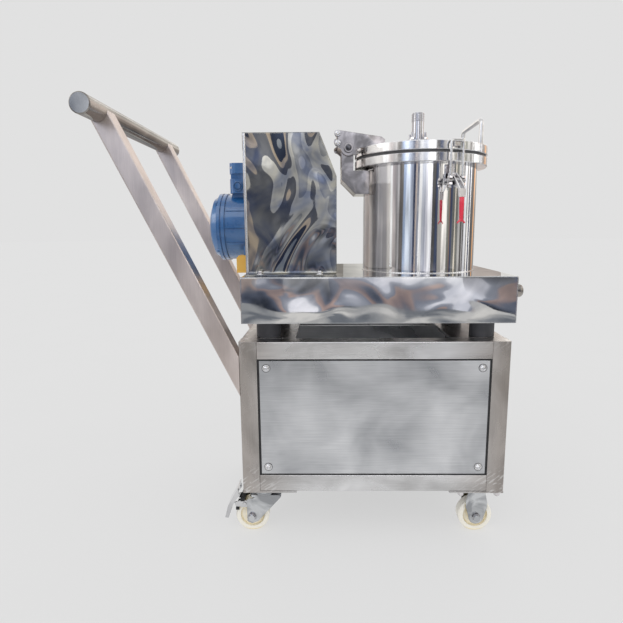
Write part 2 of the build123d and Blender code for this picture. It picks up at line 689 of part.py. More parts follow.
def latch_hook(rod_r, bar_z, trunnion_z):
    """U-shaped rod over the catch, with its trunnion bar and nuts."""
    half = LATCH_ROD_SPREAD / 2
    low = trunnion_z - HOOK_TAIL
    path = FilletPolyline((rod_r, -half, low), (rod_r, -half, bar_z), (rod_r, half, bar_z), (rod_r, half, low),
                          radius=7.0)
    start = Plane(origin=(rod_r, -half, low), z_dir=(0, 0, 1))
    hook = sweep(start * Circle(LATCH_ROD / 2), path=path)
    hook = hook + rod_y(rod_r, trunnion_z, -half - 6, half + 6, TRUNNION_DIAMETER / 2)
    for side in (-1, 1):
        for z in (trunnion_z - 9.5, trunnion_z + 4.5):
            hook = hook + disc(rod_r, side * half, z, z + 5, 5.5)
    return hook


def latches():
    rod_r = flange_r + LATCH_ROD_OUT
    bar_z = lid_z1 - LATCH_BAR_DROP
    pivot_z = gasket_z1 - LATCH_PIVOT_DROP
    trunnion_z = gasket_z1 - TRUNNION_DROP
    catches = []
    bases = []
    for angle, name in zip(LATCH_ANGLES, ("front", "rear")):
        place = latch_place(angle)
        catches.append(place * latch_catch(rod_r, bar_z))
        bases.append(place * latch_base(pivot_z))
        save(f"latch_lever_{name}", place * latch_lever(rod_r, pivot_z, trunnion_z))
        save(f"latch_grip_{name}", place * latch_grip(rod_r, pivot_z))
        save(f"latch_hook_{name}", place * latch_hook(rod_r, bar_z, trunnion_z))
    save("latch_bases", *bases)
    save("latch_catches", *catches)


def push_handle():
    foot_z = frame_z1 - HANDLE_FOOT_DROP
    run_x = BAR_OUT
    run_z = BAR_HEIGHT - foot_z
    length = sqrt(run_x ** 2 + run_z ** 2)
    lean = degrees(atan2(run_x, run_z))
    bar_r = BAR_DIAMETER / 2
    bar = rod_y(bar_x, BAR_HEIGHT, -half_d - BAR_OVERHANG, half_d + BAR_OVERHANG, bar_r)
    tubes = []
    for side in (-1, 1):
        y0, y1 = sorted((side * half_d, side * (half_d - TUBE)))
        long_bar = tube_bar(-TUBE / 2, TUBE / 2, y0, y1, -1.5 * TUBE, length)
        tube = Pos(-half_w, 0, foot_z) * Rot(0, -lean, 0) * long_bar
        tube = tube - block(-half_w, 0, -half_d - TUBE, half_d + TUBE, 0, BAR_HEIGHT) - bar
        tubes.append(tube.solids().sort_by(SortBy.VOLUME)[-1])
    save("handle_tubes", *tubes)
    caps = []
    for side in (-1, 1):
        edge = half_d + BAR_OVERHANG
        ya, yb = sorted((side * edge, side * (edge + BAR_CAP_THICK)))
        cap = rod_y(bar_x, BAR_HEIGHT, ya, yb, bar_r)
        outer = cap.faces().sort_by(Axis.Y)[-1 if side > 0 else 0]
        caps.append(chamfer(outer.edges(), 2.0))
    save("handle_bar", bar)
    save("handle_caps", *caps)


def basket():
    r = BASKET_DIAMETER / 2
    z0 = basket_z0
    z1 = z0 + BASKET_HEIGHT
    pot = disc(vessel_x, 0, z0, z1, r) - disc(vessel_x, 0, z0 + BASKET_WALL, z1 - BASKET_WALL, r - BASKET_WALL)
    pot = pot - disc(vessel_x, 0, z1 - BASKET_WALL - 1, z1 + 1, r - BASKET_LIP)
    for row in range(BASKET_HOLE_ROWS):
        z = z0 + (row + 1) * BASKET_HEIGHT / (BASKET_HOLE_ROWS + 1)
        for k in range(BASKET_HOLES_ROUND // 2):
            turn = 360.0 / BASKET_HOLES_ROUND * (k + 0.5 * (row % 2))
            drill = Pos(vessel_x, 0, z) * Rot(0, 0, turn) * Rot(0, 90, 0) * Cylinder(BASKET_HOLE / 2, 2 * r + 10)
            pot = pot - drill
    hub = disc(vessel_x, 0, z0 + BASKET_WALL, z0 + BASKET_WALL + HUB_HEIGHT, HUB_DIAMETER / 2)
    hub = chamfer(hub.faces().sort_by(Axis.Z)[-1].edges(), 8.0)
    save("basket", pot)
    save("basket_hub", hub)
    shaft = disc(vessel_x, 0, deck_z1 - BEARING_DEPTH, z0, SHAFT_DIAMETER / 2)
    save("drive_shaft", shaft)
    housing = disc(vessel_x, 0, deck_z1 - SHEET - BEARING_DEPTH + 6, deck_z1 - SHEET, BEARING_DIAMETER / 2)
    save("bearing_housing", housing - disc(vessel_x, 0, deck_z0, deck_z1, SHAFT_DIAMETER / 2 + 0.1))


def wheel(x, y):
    """Moulded wheel, turned as one profile: tread, recessed web and hub."""
    r = WHEEL_DIAMETER / 2
    half = WHEEL_WIDTH / 2
    hub = WHEEL_HUB_DIAMETER / 2
    boss = WHEEL_HUB_WIDTH / 2
    bore = AXLE_DIAMETER / 2 + RUN_FIT
    side = [(bore, boss), (hub - 4, boss), (hub, half - WHEEL_RECESS), (r - WHEEL_RIM - 1, half - WHEEL_RECESS),
            (r - WHEEL_RIM, half), (r - 3, half), (r, half - 3)]
    points = side + [(out, -along) for out, along in reversed(side)]
    wire = Polyline(*[(x + out, y + along, axle_z) for out, along in points], close=True)
    return revolve(make_face(wire), axis=Axis((x, y, axle_z), (0, 1, 0)))


def axle(x, y):
    half = FORK_INNER / 2 + FORK_SHEET
    bolt = rod_y(x, axle_z, y - half, y + half, AXLE_DIAMETER / 2)
    for side in (-1, 1):
        ya, yb = sorted((y + side * half, y + side * (half + AXLE_HEAD_THICK)))
        bolt = bolt + rod_y(x, axle_z, ya, yb, AXLE_HEAD / 2)
    return bolt


def fork_cheeks(y, outline, tip_x):
    """The two legs of a fork, each rounded about the axle at its foot."""
    cheeks = []
    for side in (-1, 1):
        ya, yb = sorted((y + side * FORK_INNER / 2, y + side * (FORK_INNER / 2 + FORK_SHEET)))
        cheeks.append(plate_xz(outline, ya, yb) + rod_y(tip_x, axle_z, ya, yb, FORK_TIP))
    return cheeks


def fixed_casters():
    forks = []
    axles = []
    z_plate = CASTER_HEIGHT - CASTER_PLATE_THICK
    for side, name in ((-1, "front"), (1, "rear")):
        y = side * caster_y
        x = fixed_x
        wide = FORK_WAIST / 2
        outline = [(x - wide + 5, z_plate), (x - wide + 5, z_plate - 14), (x - wide, z_plate - 38),
                   (x - wide, z_plate - 50), (x - FORK_TIP, axle_z), (x + FORK_TIP, axle_z),
                   (x + wide, z_plate - 50), (x + wide, z_plate - 38), (x + wide - 5, z_plate - 14),
                   (x + wide - 5, z_plate)]
        fork = block(x - CASTER_PLATE_LONG / 2, x + CASTER_PLATE_LONG / 2, y - CASTER_PLATE_WIDE / 2,
                     y + CASTER_PLATE_WIDE / 2, z_plate, CASTER_HEIGHT)
        for cheek in fork_cheeks(y, outline, x):
            fork = fork + cheek
        reach = FORK_INNER / 2 + FORK_SHEET + 1
        forks.append(fork - rod_y(x, axle_z, y - reach, y + reach, AXLE_DIAMETER / 2))
        axles.append(axle(x, y))
        save(f"wheel_right_{name}", wheel(x, y))
    save("fixed_forks", *forks)
    save("fixed_axles", *axles)


def swivel_plate(x, y, z_plate, z_race, z_low):
    """Top plate with the race and the kingpin that the fork turns on."""
    middle = x + PLATE_SHIFT
    plate = block(middle - CASTER_PLATE_LONG / 2, middle + CASTER_PLATE_LONG / 2, y - CASTER_PLATE_WIDE / 2,
                  y + CASTER_PLATE_WIDE / 2, z_plate, CASTER_HEIGHT)
    plate = fillet(plate.edges().filter_by(Axis.Z), 12.0)
    step = (z_plate - z_race) / 2
    plate = plate + disc(x, y, z_race + step, z_plate, RACE_DIAMETER / 2 + 4)
    plate = plate + disc(x, y, z_race, z_plate, RACE_DIAMETER / 2 - 2)
    return plate + disc(x, y, z_low, z_race, KINGPIN_DIAMETER / 2)


def swivel_fork(x, y, z_crown):
    """Crown under the race and two raked legs down to the axle."""
    wx = x - SWIVEL_TRAIL
    left = wx - FORK_LEFT
    right = x + CROWN_RIGHT
    low = z_crown - CROWN_THICK
    half = FORK_INNER / 2 + FORK_SHEET
    crown = block(left + 8, right, y - half, y + half, low, z_crown)
    crown = fillet(crown.edges().filter_by(Axis.Z), 8.0)
    outline = [(left, z_crown - 13), (left + 16, z_crown - 8), (left + 30, z_crown), (right - 8, z_crown),
               (right, z_crown - 2), (right, z_crown - 5), (wx + FORK_TIP - 4, axle_z - 12), (wx, axle_z - FORK_TIP),
               (left + 5, axle_z - FORK_TIP + 3), (left, axle_z - 12)]
    fork = crown
    for side in (-1, 1):
        ya, yb = sorted((y + side * FORK_INNER / 2, y + side * half))
        fork = fork + plate_xz(outline, ya, yb)
    fork = fork - disc(x, y, low - 1, z_crown + 1, KINGPIN_DIAMETER / 2 + RUN_FIT)
    return fork - rod_y(wx, axle_z, y - half - 1, y + half + 1, AXLE_DIAMETER / 2)


def brake_pedal(x, y, z_plate):
    """Pressed pedal with turned-in sides, on two lugs from the fork's legs."""
    top = z_plate - PEDAL_GAP
    a = x - PEDAL_OUT
    low = top - PEDAL_DROP
    half = PEDAL_WIDTH / 2
    t = PEDAL_THICK
    outside = [(a - 2.5, top), (a - 5, top - 7), (a - 26, low + 29), (a - 33.5, low), (a - 25.5, low - 1),
               (a - 18, low + 22), (a - 13, low + 34), (a + 2, top - 16), (a, top - 8), (a, top)]
    inside = [(a - 2, top - 7), (a - 22.5, low + 29), (a - 29.5, low + 1), (a - 10, low - 2), (a + 10, top - 18),
              (a + 10, top - 7)]
    pedal = plate_xz(outside, y - half, y + half) - plate_xz(inside, y - half + t, y + half - t)
    edge = x - SWIVEL_TRAIL - FORK_LEFT
    lug = [(edge, low + 42), (edge, low + 26), (edge - LUG_REACH, low + 28), (edge - LUG_REACH - 4, low + 38),
           (edge - 12, low + 44)]
    for side in (-1, 1):
        ya, yb = sorted((y + side * FORK_INNER / 2, y + side * (FORK_INNER / 2 + FORK_SHEET)))
        pedal = pedal + plate_xz(lug, ya, yb)
        ya, yb = sorted((y + side * FORK_INNER / 2, y + side * (half + 1)))
        pedal = pedal + rod_y(edge - 5, low + 35, ya, yb, 4.0)
    return pedal


def swivel_casters():
    plates = []
    z_plate = CASTER_HEIGHT - CASTER_PLATE_THICK
    z_race = z_plate - RACE_HEIGHT
    z_crown = z_race - SEAT_GAP
    for side, name in ((-1, "front"), (1, "rear")):
        y = side * caster_y
        x = swivel_x
        plates.append(swivel_plate(x, y, z_plate, z_race, z_crown - CROWN_THICK - 3))
        save(f"swivel_fork_{name}", swivel_fork(x, y, z_crown))
        save(f"swivel_axle_{name}", axle(x - SWIVEL_TRAIL, y))
        save(f"wheel_left_{name}", wheel(x - SWIVEL_TRAIL, y))
        save(f"brake_pedal_{name}", brake_pedal(x, y, z_plate))
    save("swivel_plates", *plates)


frame_posts()
frame_rails()
frame_end_plates()
panels()
caster_pads()
rubber_mounts()
deck()
outlet()
guard()
motor()
motor_blocks()
vessel()
lid_pieces()
hinge_bracket()
hinge_arms()
hinge_pin()
latches()
push_handle()
basket()
fixed_casters()
swivel_casters()
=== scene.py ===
# %% [markdown]
# # Dressing a small filter centrifuge
#
# The solids of the machine come in as a fixed frame: tubes, sheets, motor, vessel, casters.
# This lesson adds what the frame leaves out, which is screws, threads, rubber strips, ribs and welds,
# and above all the finishes. Almost everything here is stainless steel, so the lesson is about
# telling one steel surface from another: mirror-polished sheet, satin-brushed tube, turned rings.

from math import cos, pi, radians, sin

import bmesh
import bpy
from mathutils import Matrix, Vector


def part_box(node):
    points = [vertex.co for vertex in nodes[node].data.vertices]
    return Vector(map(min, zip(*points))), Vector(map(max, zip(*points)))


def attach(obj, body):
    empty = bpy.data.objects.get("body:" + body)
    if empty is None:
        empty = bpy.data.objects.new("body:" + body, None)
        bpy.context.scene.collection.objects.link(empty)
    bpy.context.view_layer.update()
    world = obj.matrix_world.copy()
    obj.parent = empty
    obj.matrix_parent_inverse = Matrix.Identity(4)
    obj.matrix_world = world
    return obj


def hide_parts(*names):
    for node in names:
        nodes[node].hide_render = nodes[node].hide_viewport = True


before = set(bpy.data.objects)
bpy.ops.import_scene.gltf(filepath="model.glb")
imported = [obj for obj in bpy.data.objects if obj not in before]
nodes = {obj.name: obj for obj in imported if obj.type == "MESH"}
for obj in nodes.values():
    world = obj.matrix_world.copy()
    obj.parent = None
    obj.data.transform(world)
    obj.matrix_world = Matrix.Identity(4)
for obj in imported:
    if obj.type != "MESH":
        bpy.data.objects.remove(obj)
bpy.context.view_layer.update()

# %% [markdown]
# ## Colour and nodes
#
# Colours are easiest to choose as the hex values a screen shows. Shaders work in linear light, so one
# function converts them. A second small function adds a shader node and fills in its settings,
# numbers and links.

# %% Helpers for colours and shader nodes
MM = 0.001


def linear(hex_value):
    """Turn an sRGB hex colour into the linear values that a shader needs."""
    channels = [int(hex_value[k:k + 2], 16) / 255 for k in (1, 3, 5)]
    return [c / 12.92 if c <= 0.04045 else ((c + 0.055) / 1.055) ** 2.4 for c in channels] + [1.0]


def add(tree, kind, inputs=None, **settings):
    """Add one node, set its properties and fill its sockets with values or links."""
    item = tree.nodes.new(kind)
    for key, value in settings.items():
        setattr(item, key, value)
    for key, value in (inputs or {}).items():
        if isinstance(value, bpy.types.NodeSocket):
            tree.links.new(value, item.inputs[key])
        else:
            item.inputs[key].default_value = value
    return item


def start_material(name):
    """A new material with only a surface shader, ready to be fed."""
    material = bpy.data.materials.new(name)
    material.use_nodes = True
    return material, material.node_tree, material.node_tree.nodes["Principled BSDF"]


def reopen(material):
    """The tree and the shader of a finished material, and what gives its colour so far."""
    tree = material.node_tree
    shader = tree.nodes["Principled BSDF"]
    return tree, shader, shader.inputs["Base Color"].links[0].from_socket


def feed(tree, shader, tone, gloss=None, normal=None):
    """Link a colour and, where they are given, a roughness and a normal to a surface shader."""
    for name, source in (("Base Color", tone), ("Roughness", gloss), ("Normal", normal)):
        if source is not None:
            tree.links.new(source, shader.inputs[name])


print("mid grey on a screen is", round(linear("#808080")[0], 3), "in linear light")

# %% [markdown]
# ## Steps that come back in every finish
#
# A pattern starts from a place on the surface, is drawn out along an axis, and turns into a colour, a
# roughness or a relief. Each of these steps is one node or two. With a name for each step, a finish
# reads as a short list. All their sizes are in millimetres.

# %% Short names for the steps
def place_in(tree):
    """Where a point of the surface lies."""
    return add(tree, "ShaderNodeTexCoord").outputs["Object"]


def component(tree, vector, axis):
    """One coordinate of a place or of a direction."""
    return add(tree, "ShaderNodeSeparateXYZ", {"Vector": vector}).outputs[axis]


def calculate(tree, operation, a, b=0.0):
    """One sum on one or two values."""
    return add(tree, "ShaderNodeMath", {0: a, 1: b}, operation=operation).outputs[0]


def spread(tree, place, sizes):
    """Draw a pattern out to these sizes along X, Y and Z."""
    scale = [1 / (size * MM) for size in sizes]
    return add(tree, "ShaderNodeMapping", {"Vector": place, "Scale": scale}).outputs[0]


def noise(tree, place, scale=1.0, detail=3.0, roughness=0.5, distortion=0.0):
    """A soft random pattern of values round one half."""
    return add(tree, "ShaderNodeTexNoise", {
        "Vector": place, "Scale": scale, "Detail": detail, "Roughness": roughness,
        "Distortion": distortion}).outputs["Fac"]


def remap(tree, value, low, high, to_low=0.0, to_high=1.0):
    """Spread the values from low to high over the range from to_low to to_high."""
    return add(tree, "ShaderNodeMapRange", {"Value": value, "From Min": low, "From Max": high,
                                            "To Min": to_low, "To Max": to_high}).outputs[0]


def blend(tree, factor, a, b, **settings):
    """Mix two colours."""
    return add(tree, "ShaderNodeMix", {"Factor": factor, "A": a, "B": b}, data_type="RGBA",
               **settings).outputs["Result"]


def ramp(tree, value, stops, interpolation="LINEAR"):
    """Turn a value into a colour by (position, hex colour) stops."""
    item = add(tree, "ShaderNodeValToRGB", {"Fac": value})
    item.color_ramp.interpolation = interpolation
    elements = item.color_ramp.elements
    elements.remove(elements[1])
    for k, (position, colour) in enumerate(stops):
        element = elements[0] if k == 0 else elements.new(position)
        element.position = position
        element.color = linear(colour)
    return item.outputs[0]


def relief(tree, height, depth, bevel, strength=1.0):
    """Raise a pattern by a depth, on a surface whose edges look rounded by a bevel."""
    edge = add(tree, "ShaderNodeBevel", {"Radius": bevel * MM}, samples=3)
    return add(tree, "ShaderNodeBump", {"Height": height, "Distance": depth * MM, "Strength": strength,
                                        "Normal": edge.outputs[0]}).outputs[0]


def openness(tree, reach):
    """How open a spot is to what lies within reach: low in creases and hollows."""
    return add(tree, "ShaderNodeAmbientOcclusion", {"Distance": reach * MM}, samples=8).outputs["AO"]


print("steps ready")

# %% [markdown]
# ## Satin-brushed stainless
#
# The cart is welded from square tube and then gone over with an abrasive belt. That leaves fine
# lines along each tube, a broken, cloudy shine where the belt overlapped, and brighter rubbed edges.
# Two noises do it: one stretched into lines, one broad and soft. The lines are finer than a pixel
# in life (about 0.2 mm), so they are drawn about 1.5 mm apart to show at all.

# %% Brushed stainless, with the grain along a chosen axis
LINE_GAP = 1.5
LINE_LENGTH = 70


def brushed_stainless(name, grain, tones=("#BDBCBC", "#F4F4F5"), rough=(0.18, 0.34), cloud=70, stretch=0.45,
                      bevel=1.2):
    """A brushed finish: tones are its darkest and its lightest, cloud is the width of its clouds."""
    material, tree, shader = start_material(name)
    place = place_in(tree)
    lines_at = spread(tree, place, [LINE_LENGTH if axis == grain else LINE_GAP for axis in "XYZ"])
    lines = noise(tree, lines_at, roughness=0.6)
    clouds_at = spread(tree, place, [cloud / stretch if axis == grain else cloud for axis in "XYZ"])
    clouds = noise(tree, clouds_at, distortion=0.4)
    shade = add(tree, "ShaderNodeMix", {"Factor": 0.2, "A": clouds, "B": lines}, data_type="FLOAT")
    shader.inputs["Metallic"].default_value = 1.0
    shader.inputs["Anisotropic"].default_value = 0.35
    feed(tree, shader, ramp(tree, shade.outputs[0], ((0.34, tones[0]), (0.68, tones[1]))),
         remap(tree, clouds, 0.3, 0.7, *rough), relief(tree, lines, 0.03, bevel, 0.5))
    return material


tube_upright = brushed_stainless("satin_stainless_upright", "Z")
tube_along = brushed_stainless("satin_stainless_along", "X")
tube_across = brushed_stainless("satin_stainless_across", "Y")
handle_steel = brushed_stainless("satin_stainless_handle", "Z", ("#BFB3AE", "#EADFDA"), (0.28, 0.42))
bar_steel = brushed_stainless("satin_stainless_push_bar", "Y", ("#75726F", "#B2ADA8"), (0.10, 0.20))
panel_steel = brushed_stainless("belt_brushed_panel", "X", ("#A4A6AA", "#E6E7E9"), (0.24, 0.44),
                                cloud=150, stretch=0.9, bevel=3)
side_panel_steel = brushed_stainless("belt_brushed_side_panel", "Y", ("#A4A6AA", "#E6E7E9"), (0.26, 0.48),
                                     cloud=150, stretch=0.9, bevel=3)
print("brushed steels:", tube_upright.name, tube_along.name, tube_across.name, panel_steel.name)

# %% [markdown]
# ## Dull corners on the welded frame
#
# Where rail meets post, the weld was ground flush. The steel there is duller and a little brown, and
# the grinder left slanting scratches. So the three tube steels get a tone that grows with the
# distance from the middle of the frame, and scratches that show only near its corners.

# %% Darker, scratched steel near the corners
# The cart's centre line lies this many millimetres to the right of the scene's origin.
CENTRE_LINE = 125.75
FRAME_MIDDLE = 320


def dull_towards_posts(material):
    """Darken the steel towards the posts, with scratches where the corner welds were ground flush."""
    tree, shader, tone = reopen(material)
    place = place_in(tree)
    aside = calculate(tree, "SUBTRACT", component(tree, place, "X"), CENTRE_LINE * MM)
    near_post = remap(tree, calculate(tree, "ABSOLUTE", aside), 160 * MM, 285 * MM)
    ground = blend(tree, near_post, linear("#FFFFFF"), linear("#CAC3BD"))
    tone = blend(tree, 1.0, tone, ground, blend_type="MULTIPLY")
    slanted = add(tree, "ShaderNodeMapping", {"Vector": place, "Rotation": (0, radians(35), 0)})
    scratches = noise(tree, spread(tree, slanted.outputs[0], (26, 26, 5)), distortion=0.5)
    strong = remap(tree, scratches, 0.54, 0.64, 0.0, 0.4)
    above = calculate(tree, "SUBTRACT", component(tree, place, "Z"), FRAME_MIDDLE * MM)
    near_rail = remap(tree, calculate(tree, "ABSOLUTE", above), 130 * MM, 170 * MM)
    marked = calculate(tree, "MULTIPLY", calculate(tree, "MULTIPLY", strong, near_post), near_rail)
    feed(tree, shader, blend(tree, marked, tone, linear("#FFFFFF")))


for tube in (tube_upright, tube_along, tube_across):
    dull_towards_posts(tube)
print("dulled towards the posts: 3 tube steels")

# %% [markdown]
# ## Mirror-polished sheet
#
# The deck, the motor guard and the vessel are polished until they reflect the room. Thin sheet is
# never flat, though: folding and welding leave shallow dents a hand wide, and these bend the
# reflections into swirls. So the finish is almost perfectly smooth, and the swirls come from a
# broad, shallow bump. A rolled shell is straight up and down, so there the dents are drawn tall.
# Smaller parts take the same finish with other dents: a cast latch, a drawn rod, a zinc pressing.

# %% Polished stainless with a chosen dent size
def polished_stainless(name, dent, depth, rough, tones=("#CFCFD1", "#E0E0E1"), film=90, streak=1.0,
                       ripple=1.0, bevel=1.5):
    """A mirror finish: tones are the darkest and the lightest that the hazy film leaves on it."""
    material, tree, shader = start_material(name)
    place = place_in(tree)
    dents = noise(tree, spread(tree, place, dent), detail=ripple, roughness=0.4, distortion=0.6)
    haze = noise(tree, spread(tree, place, (film, film, film * streak)), distortion=1.2 / streak)
    smears = noise(tree, place, 1 / (35 * MM), detail=6.0, roughness=0.7)
    shader.inputs["Metallic"].default_value = 1.0
    feed(tree, shader, ramp(tree, haze, ((0.42, tones[0]), (0.60, tones[1]))),
         remap(tree, smears, 0.45, 0.75, *rough), relief(tree, dents, depth, bevel))
    return material


deck_steel = polished_stainless("mirror_stainless_deck", (230, 230, 120), 1.7, (0.02, 0.07),
                                ("#B4B6BA", "#D4D4D5"), film=150, bevel=3)
guard_steel = polished_stainless("mirror_stainless_guard", (170, 170, 210), 24, (0.02, 0.06),
                                 ("#6E7585", "#A6A49C"), film=120, ripple=1.5, bevel=4)
shell_steel = polished_stainless("mirror_stainless_shell", (60, 60, 600), 0.8, (0.04, 0.12),
                                 ("#C6C6CB", "#FFFFFF"), film=22, streak=30)
ring_steel = polished_stainless("turned_and_polished_ring", (400, 400, 6), 0.04, (0.12, 0.24),
                                ("#E2E2E4", "#F4F4F5"))
pipe_steel = polished_stainless("drawn_pipe", (300, 300, 300), 0.1, (0.10, 0.20), ("#9C9CA2", "#BFBFC4"))
rod_steel = polished_stainless("polished_rod", (300, 300, 300), 0.1, (0.05, 0.14))
latch_steel = polished_stainless("cast_and_tumbled_latch", (14, 14, 14), 0.5, (0.12, 0.24),
                                 ("#E2DEE0", "#F6F4F5"), film=10)
lever_steel = polished_stainless("satin_lever", (60, 60, 60), 0.2, (0.36, 0.48), ("#EEECEC", "#FCFBFB"),
                                 film=20)
plate_steel = polished_stainless("cut_and_polished_plate", (80, 80, 80), 2.2, (0.06, 0.16),
                                 ("#8C8886", "#C2BCBA"), film=60)
caster_zinc = polished_stainless("bright_zinc_pressing", (22, 22, 22), 0.6, (0.14, 0.26),
                                 ("#A2A4A7", "#D6D8DA"), film=60)
dark_bolt = polished_stainless("blackened_bolt_steel", (30, 30, 30), 0.1, (0.12, 0.24),
                               ("#45454A", "#66666B"), film=20)
print("polished steels:", deck_steel.name, guard_steel.name, shell_steel.name)

# %% [markdown]
# ## Where the polish stops
# The guard was polished on its broad faces only, so its narrow sides keep the duller skin of the
# rolling mill; their paler colour is painted light, for the light that these sides catch. The creases
# of small parts get painted shade: their colour goes dark where other surfaces come near. And polish never
# gets into the creases of small parts, so those stay dark.

# %% Duller sides with painted light, and painted shade in creases
def dull_sides_with_painted_light(material, light, rough):
    """Give the faces that look left and right a duller finish than the rest, and a paler colour as painted
    light.
    """
    tree, shader, tone = reopen(material)
    normal = add(tree, "ShaderNodeNewGeometry").outputs["True Normal"]
    side = remap(tree, calculate(tree, "ABSOLUTE", component(tree, normal, "X")), 0.7, 0.8)
    gloss = add(tree, "ShaderNodeMix", {"Factor": side, "A": shader.inputs["Roughness"].links[0].from_socket,
                                        "B": rough}, data_type="FLOAT")
    feed(tree, shader, blend(tree, side, tone, linear(light)), gloss.outputs["Result"])


def paint_crease_shade(material, reach):
    """Paint shade into a surface's colour where other surfaces come near it."""
    tree, shader, tone = reopen(material)
    # Painted shade: the colour goes dark grey where the surface is hemmed in.
    shade = ramp(tree, openness(tree, reach), ((0.25, "#4A4A52"), (0.85, "#FFFFFF")))
    feed(tree, shader, blend(tree, 1.0, tone, shade, blend_type="MULTIPLY"))


# The sides' pale colour is painted light; their roughness of 0.5 is the duller finish.
dull_sides_with_painted_light(guard_steel, "#F6F4F2", 0.5)
small_part_steels = (latch_steel, lever_steel, rod_steel, plate_steel, caster_zinc)
# These small parts get painted shade in their creases.
for small_part in small_part_steels:
    paint_crease_shade(small_part, 9)
print("steels with dark creases:", len(small_part_steels))

# %% [markdown]
# ## Painted and moulded parts
#
# The motor is cast aluminium under thick gloss enamel with the orange-peel of sprayed paint, and it
# stands on orange blocks. The wheels are cream nylon, the mounts black rubber, the gasket grey
# silicone, and the latch grips dipped red vinyl.

# %% One function for coated and moulded surfaces
def coated(name, tones, rough, grit, depth, ior, coat=0.0, bevel=0.8):
    """A mottled colour under a grit-sized relief: tones are its darkest and its lightest."""
    material, tree, shader = start_material(name)
    place = place_in(tree)
    mottle = noise(tree, place, 1 / (14 * grit * MM), detail=4.0)
    grains = noise(tree, place, 1 / (grit * MM), detail=2.0)
    shader.inputs["Coat Weight"].default_value = coat
    shader.inputs["IOR"].default_value = ior
    feed(tree, shader, blend(tree, mottle, linear(tones[0]), linear(tones[1])),
         remap(tree, mottle, 0.3, 0.7, *rough), relief(tree, grains, depth, bevel, 0.7))
    return material


def paint_yellow_recess_shade(material, shade_colour, reach):
    """Paint shade into the hollows of a moulded part, as a darker yellow where other surfaces come near."""
    tree, shader, tone = reopen(material)
    # Painted shade: a darker yellow where the surface is hemmed in.
    depth = remap(tree, openness(tree, reach), 0.3, 0.8)
    feed(tree, shader, blend(tree, depth, linear(shade_colour), tone))


motor_enamel = coated("sprayed_blue_enamel", ("#1F5796", "#4180BE"), (0.24, 0.36), 2.5, 0.12, 1.5,
                      coat=1.0, bevel=2)
block_enamel = coated("sprayed_orange_enamel", ("#FFC048", "#FFD060"), (0.35, 0.5), 2.5, 0.05, 1.5)
mount_rubber = coated("moulded_black_rubber", ("#3A3B40", "#56575D"), (0.55, 0.75), 1.5, 0.08, 1.52)
wheel_nylon = coated("moulded_cream_nylon", ("#FAF4E4", "#FFFDF6"), (0.38, 0.5), 3, 0.04, 1.53)
grip_vinyl = coated("dipped_red_vinyl", ("#D80C34", "#F21848"), (0.20, 0.30), 2, 0.04, 1.52, coat=1.0)
edging_rubber = coated("black_edging_rubber", ("#121315", "#1E1F22"), (0.5, 0.7), 1.5, 0.05, 1.52)
gasket_rubber = coated("moulded_grey_silicone", ("#48484A", "#5C5C5E"), (0.5, 0.6), 1.5, 0.03, 1.43)
# Painted shade in the wheels' hollows, as a darker yellow.
paint_yellow_recess_shade(wheel_nylon, "#FFE9A8", 14)
print("coated surfaces:", motor_enamel.name, wheel_nylon.name, grip_vinyl.name)

# %% [markdown]
# ## Giving every solid its finish
#
# The solids already have the right shape, so each only needs its material. Tubes are split by the
# way they run, so that the brushed lines follow each one.

# %% Assign finishes to the frame's nodes
finish_of = {
    "frame_posts": tube_upright, "frame_long_rails": tube_along, "frame_side_rails": tube_across,
    "frame_end_plates": tube_across, "front_panel": panel_steel, "rear_panel": panel_steel,
    "side_panels": side_panel_steel, "panel_tabs": tube_along, "caster_pads": tube_along,
    "rubber_mounts": mount_rubber, "deck_shell": deck_steel, "deck_mount_plates": tube_across,
    "outlet_stub": bar_steel, "guard_cover": guard_steel, "motor_body": motor_enamel,
    "motor_end_cover": motor_enamel, "terminal_box": motor_enamel, "motor_blocks": block_enamel,
    "vessel_shell": shell_steel, "vessel_flange": ring_steel, "vessel_gasket": gasket_rubber,
    "lid_plate": ring_steel, "feed_nozzle": pipe_steel, "lid_handle": rod_steel,
    "hinge_bracket": plate_steel, "hinge_arms": plate_steel, "hinge_pin": ring_steel,
    "handle_tubes": handle_steel, "handle_bar": bar_steel, "handle_caps": bar_steel,
    "basket": tube_upright, "basket_hub": ring_steel, "drive_shaft": ring_steel,
    "bearing_housing": ring_steel,
}
# The rest share a finish by how their names begin. Forks, plates and axles of the casters come last.
finish_by_start = (
    ("wheel_", wheel_nylon), ("latch_grip", grip_vinyl), ("latch_hook", rod_steel),
    ("brake_pedal", rod_steel), ("latch_lever", lever_steel), ("latch_", latch_steel), ("", caster_zinc))
for name, obj in nodes.items():
    finish = finish_of.get(name) or next(steel for start, steel in finish_by_start if name.startswith(start))
    obj.data.materials.clear()
    obj.data.materials.append(finish)
print("finished", len(nodes), "nodes")

# %% [markdown]
# ## Making small hardware
#
# Screws, nuts and washers are round or six-sided, so two makers cover them: one spins a profile
# round an axis, one raises an outline. Both draw in millimetres about their own origin, and a
# placing matrix carries each copy to where it sits. Copies that move together are joined in one mesh.

# %% Mesh makers for turned and cut pieces
def oval(mesh, centre, half_x, half_y, steps):
    """A level ring of points round a centre."""
    x, y, z = centre
    return [mesh.verts.new((x + half_x * cos(2 * pi * k / steps), y + half_y * sin(2 * pi * k / steps), z))
            for k in range(steps)]


def bridge(mesh, low, high):
    """Join two rings by a band of faces. Either ring may be a single point."""
    steps = max(len(low), len(high))
    for k in range(steps):
        n = (k + 1) % steps
        corners = (low[k % len(low)], low[n % len(low)], high[n % len(high)], high[k % len(high)])
        unique = list(dict.fromkeys(corners))
        if len(unique) > 2:
            mesh.faces.new(unique)


def turned(profile, steps=24):
    """Spin (radius, height) points round Z into a closed form."""
    mesh = bmesh.new()
    rings = [oval(mesh, (0, 0, height), radius, radius, steps if radius else 1) for radius, height in profile]
    for low, high in zip(rings, rings[1:]):
        bridge(mesh, low, high)
    return mesh


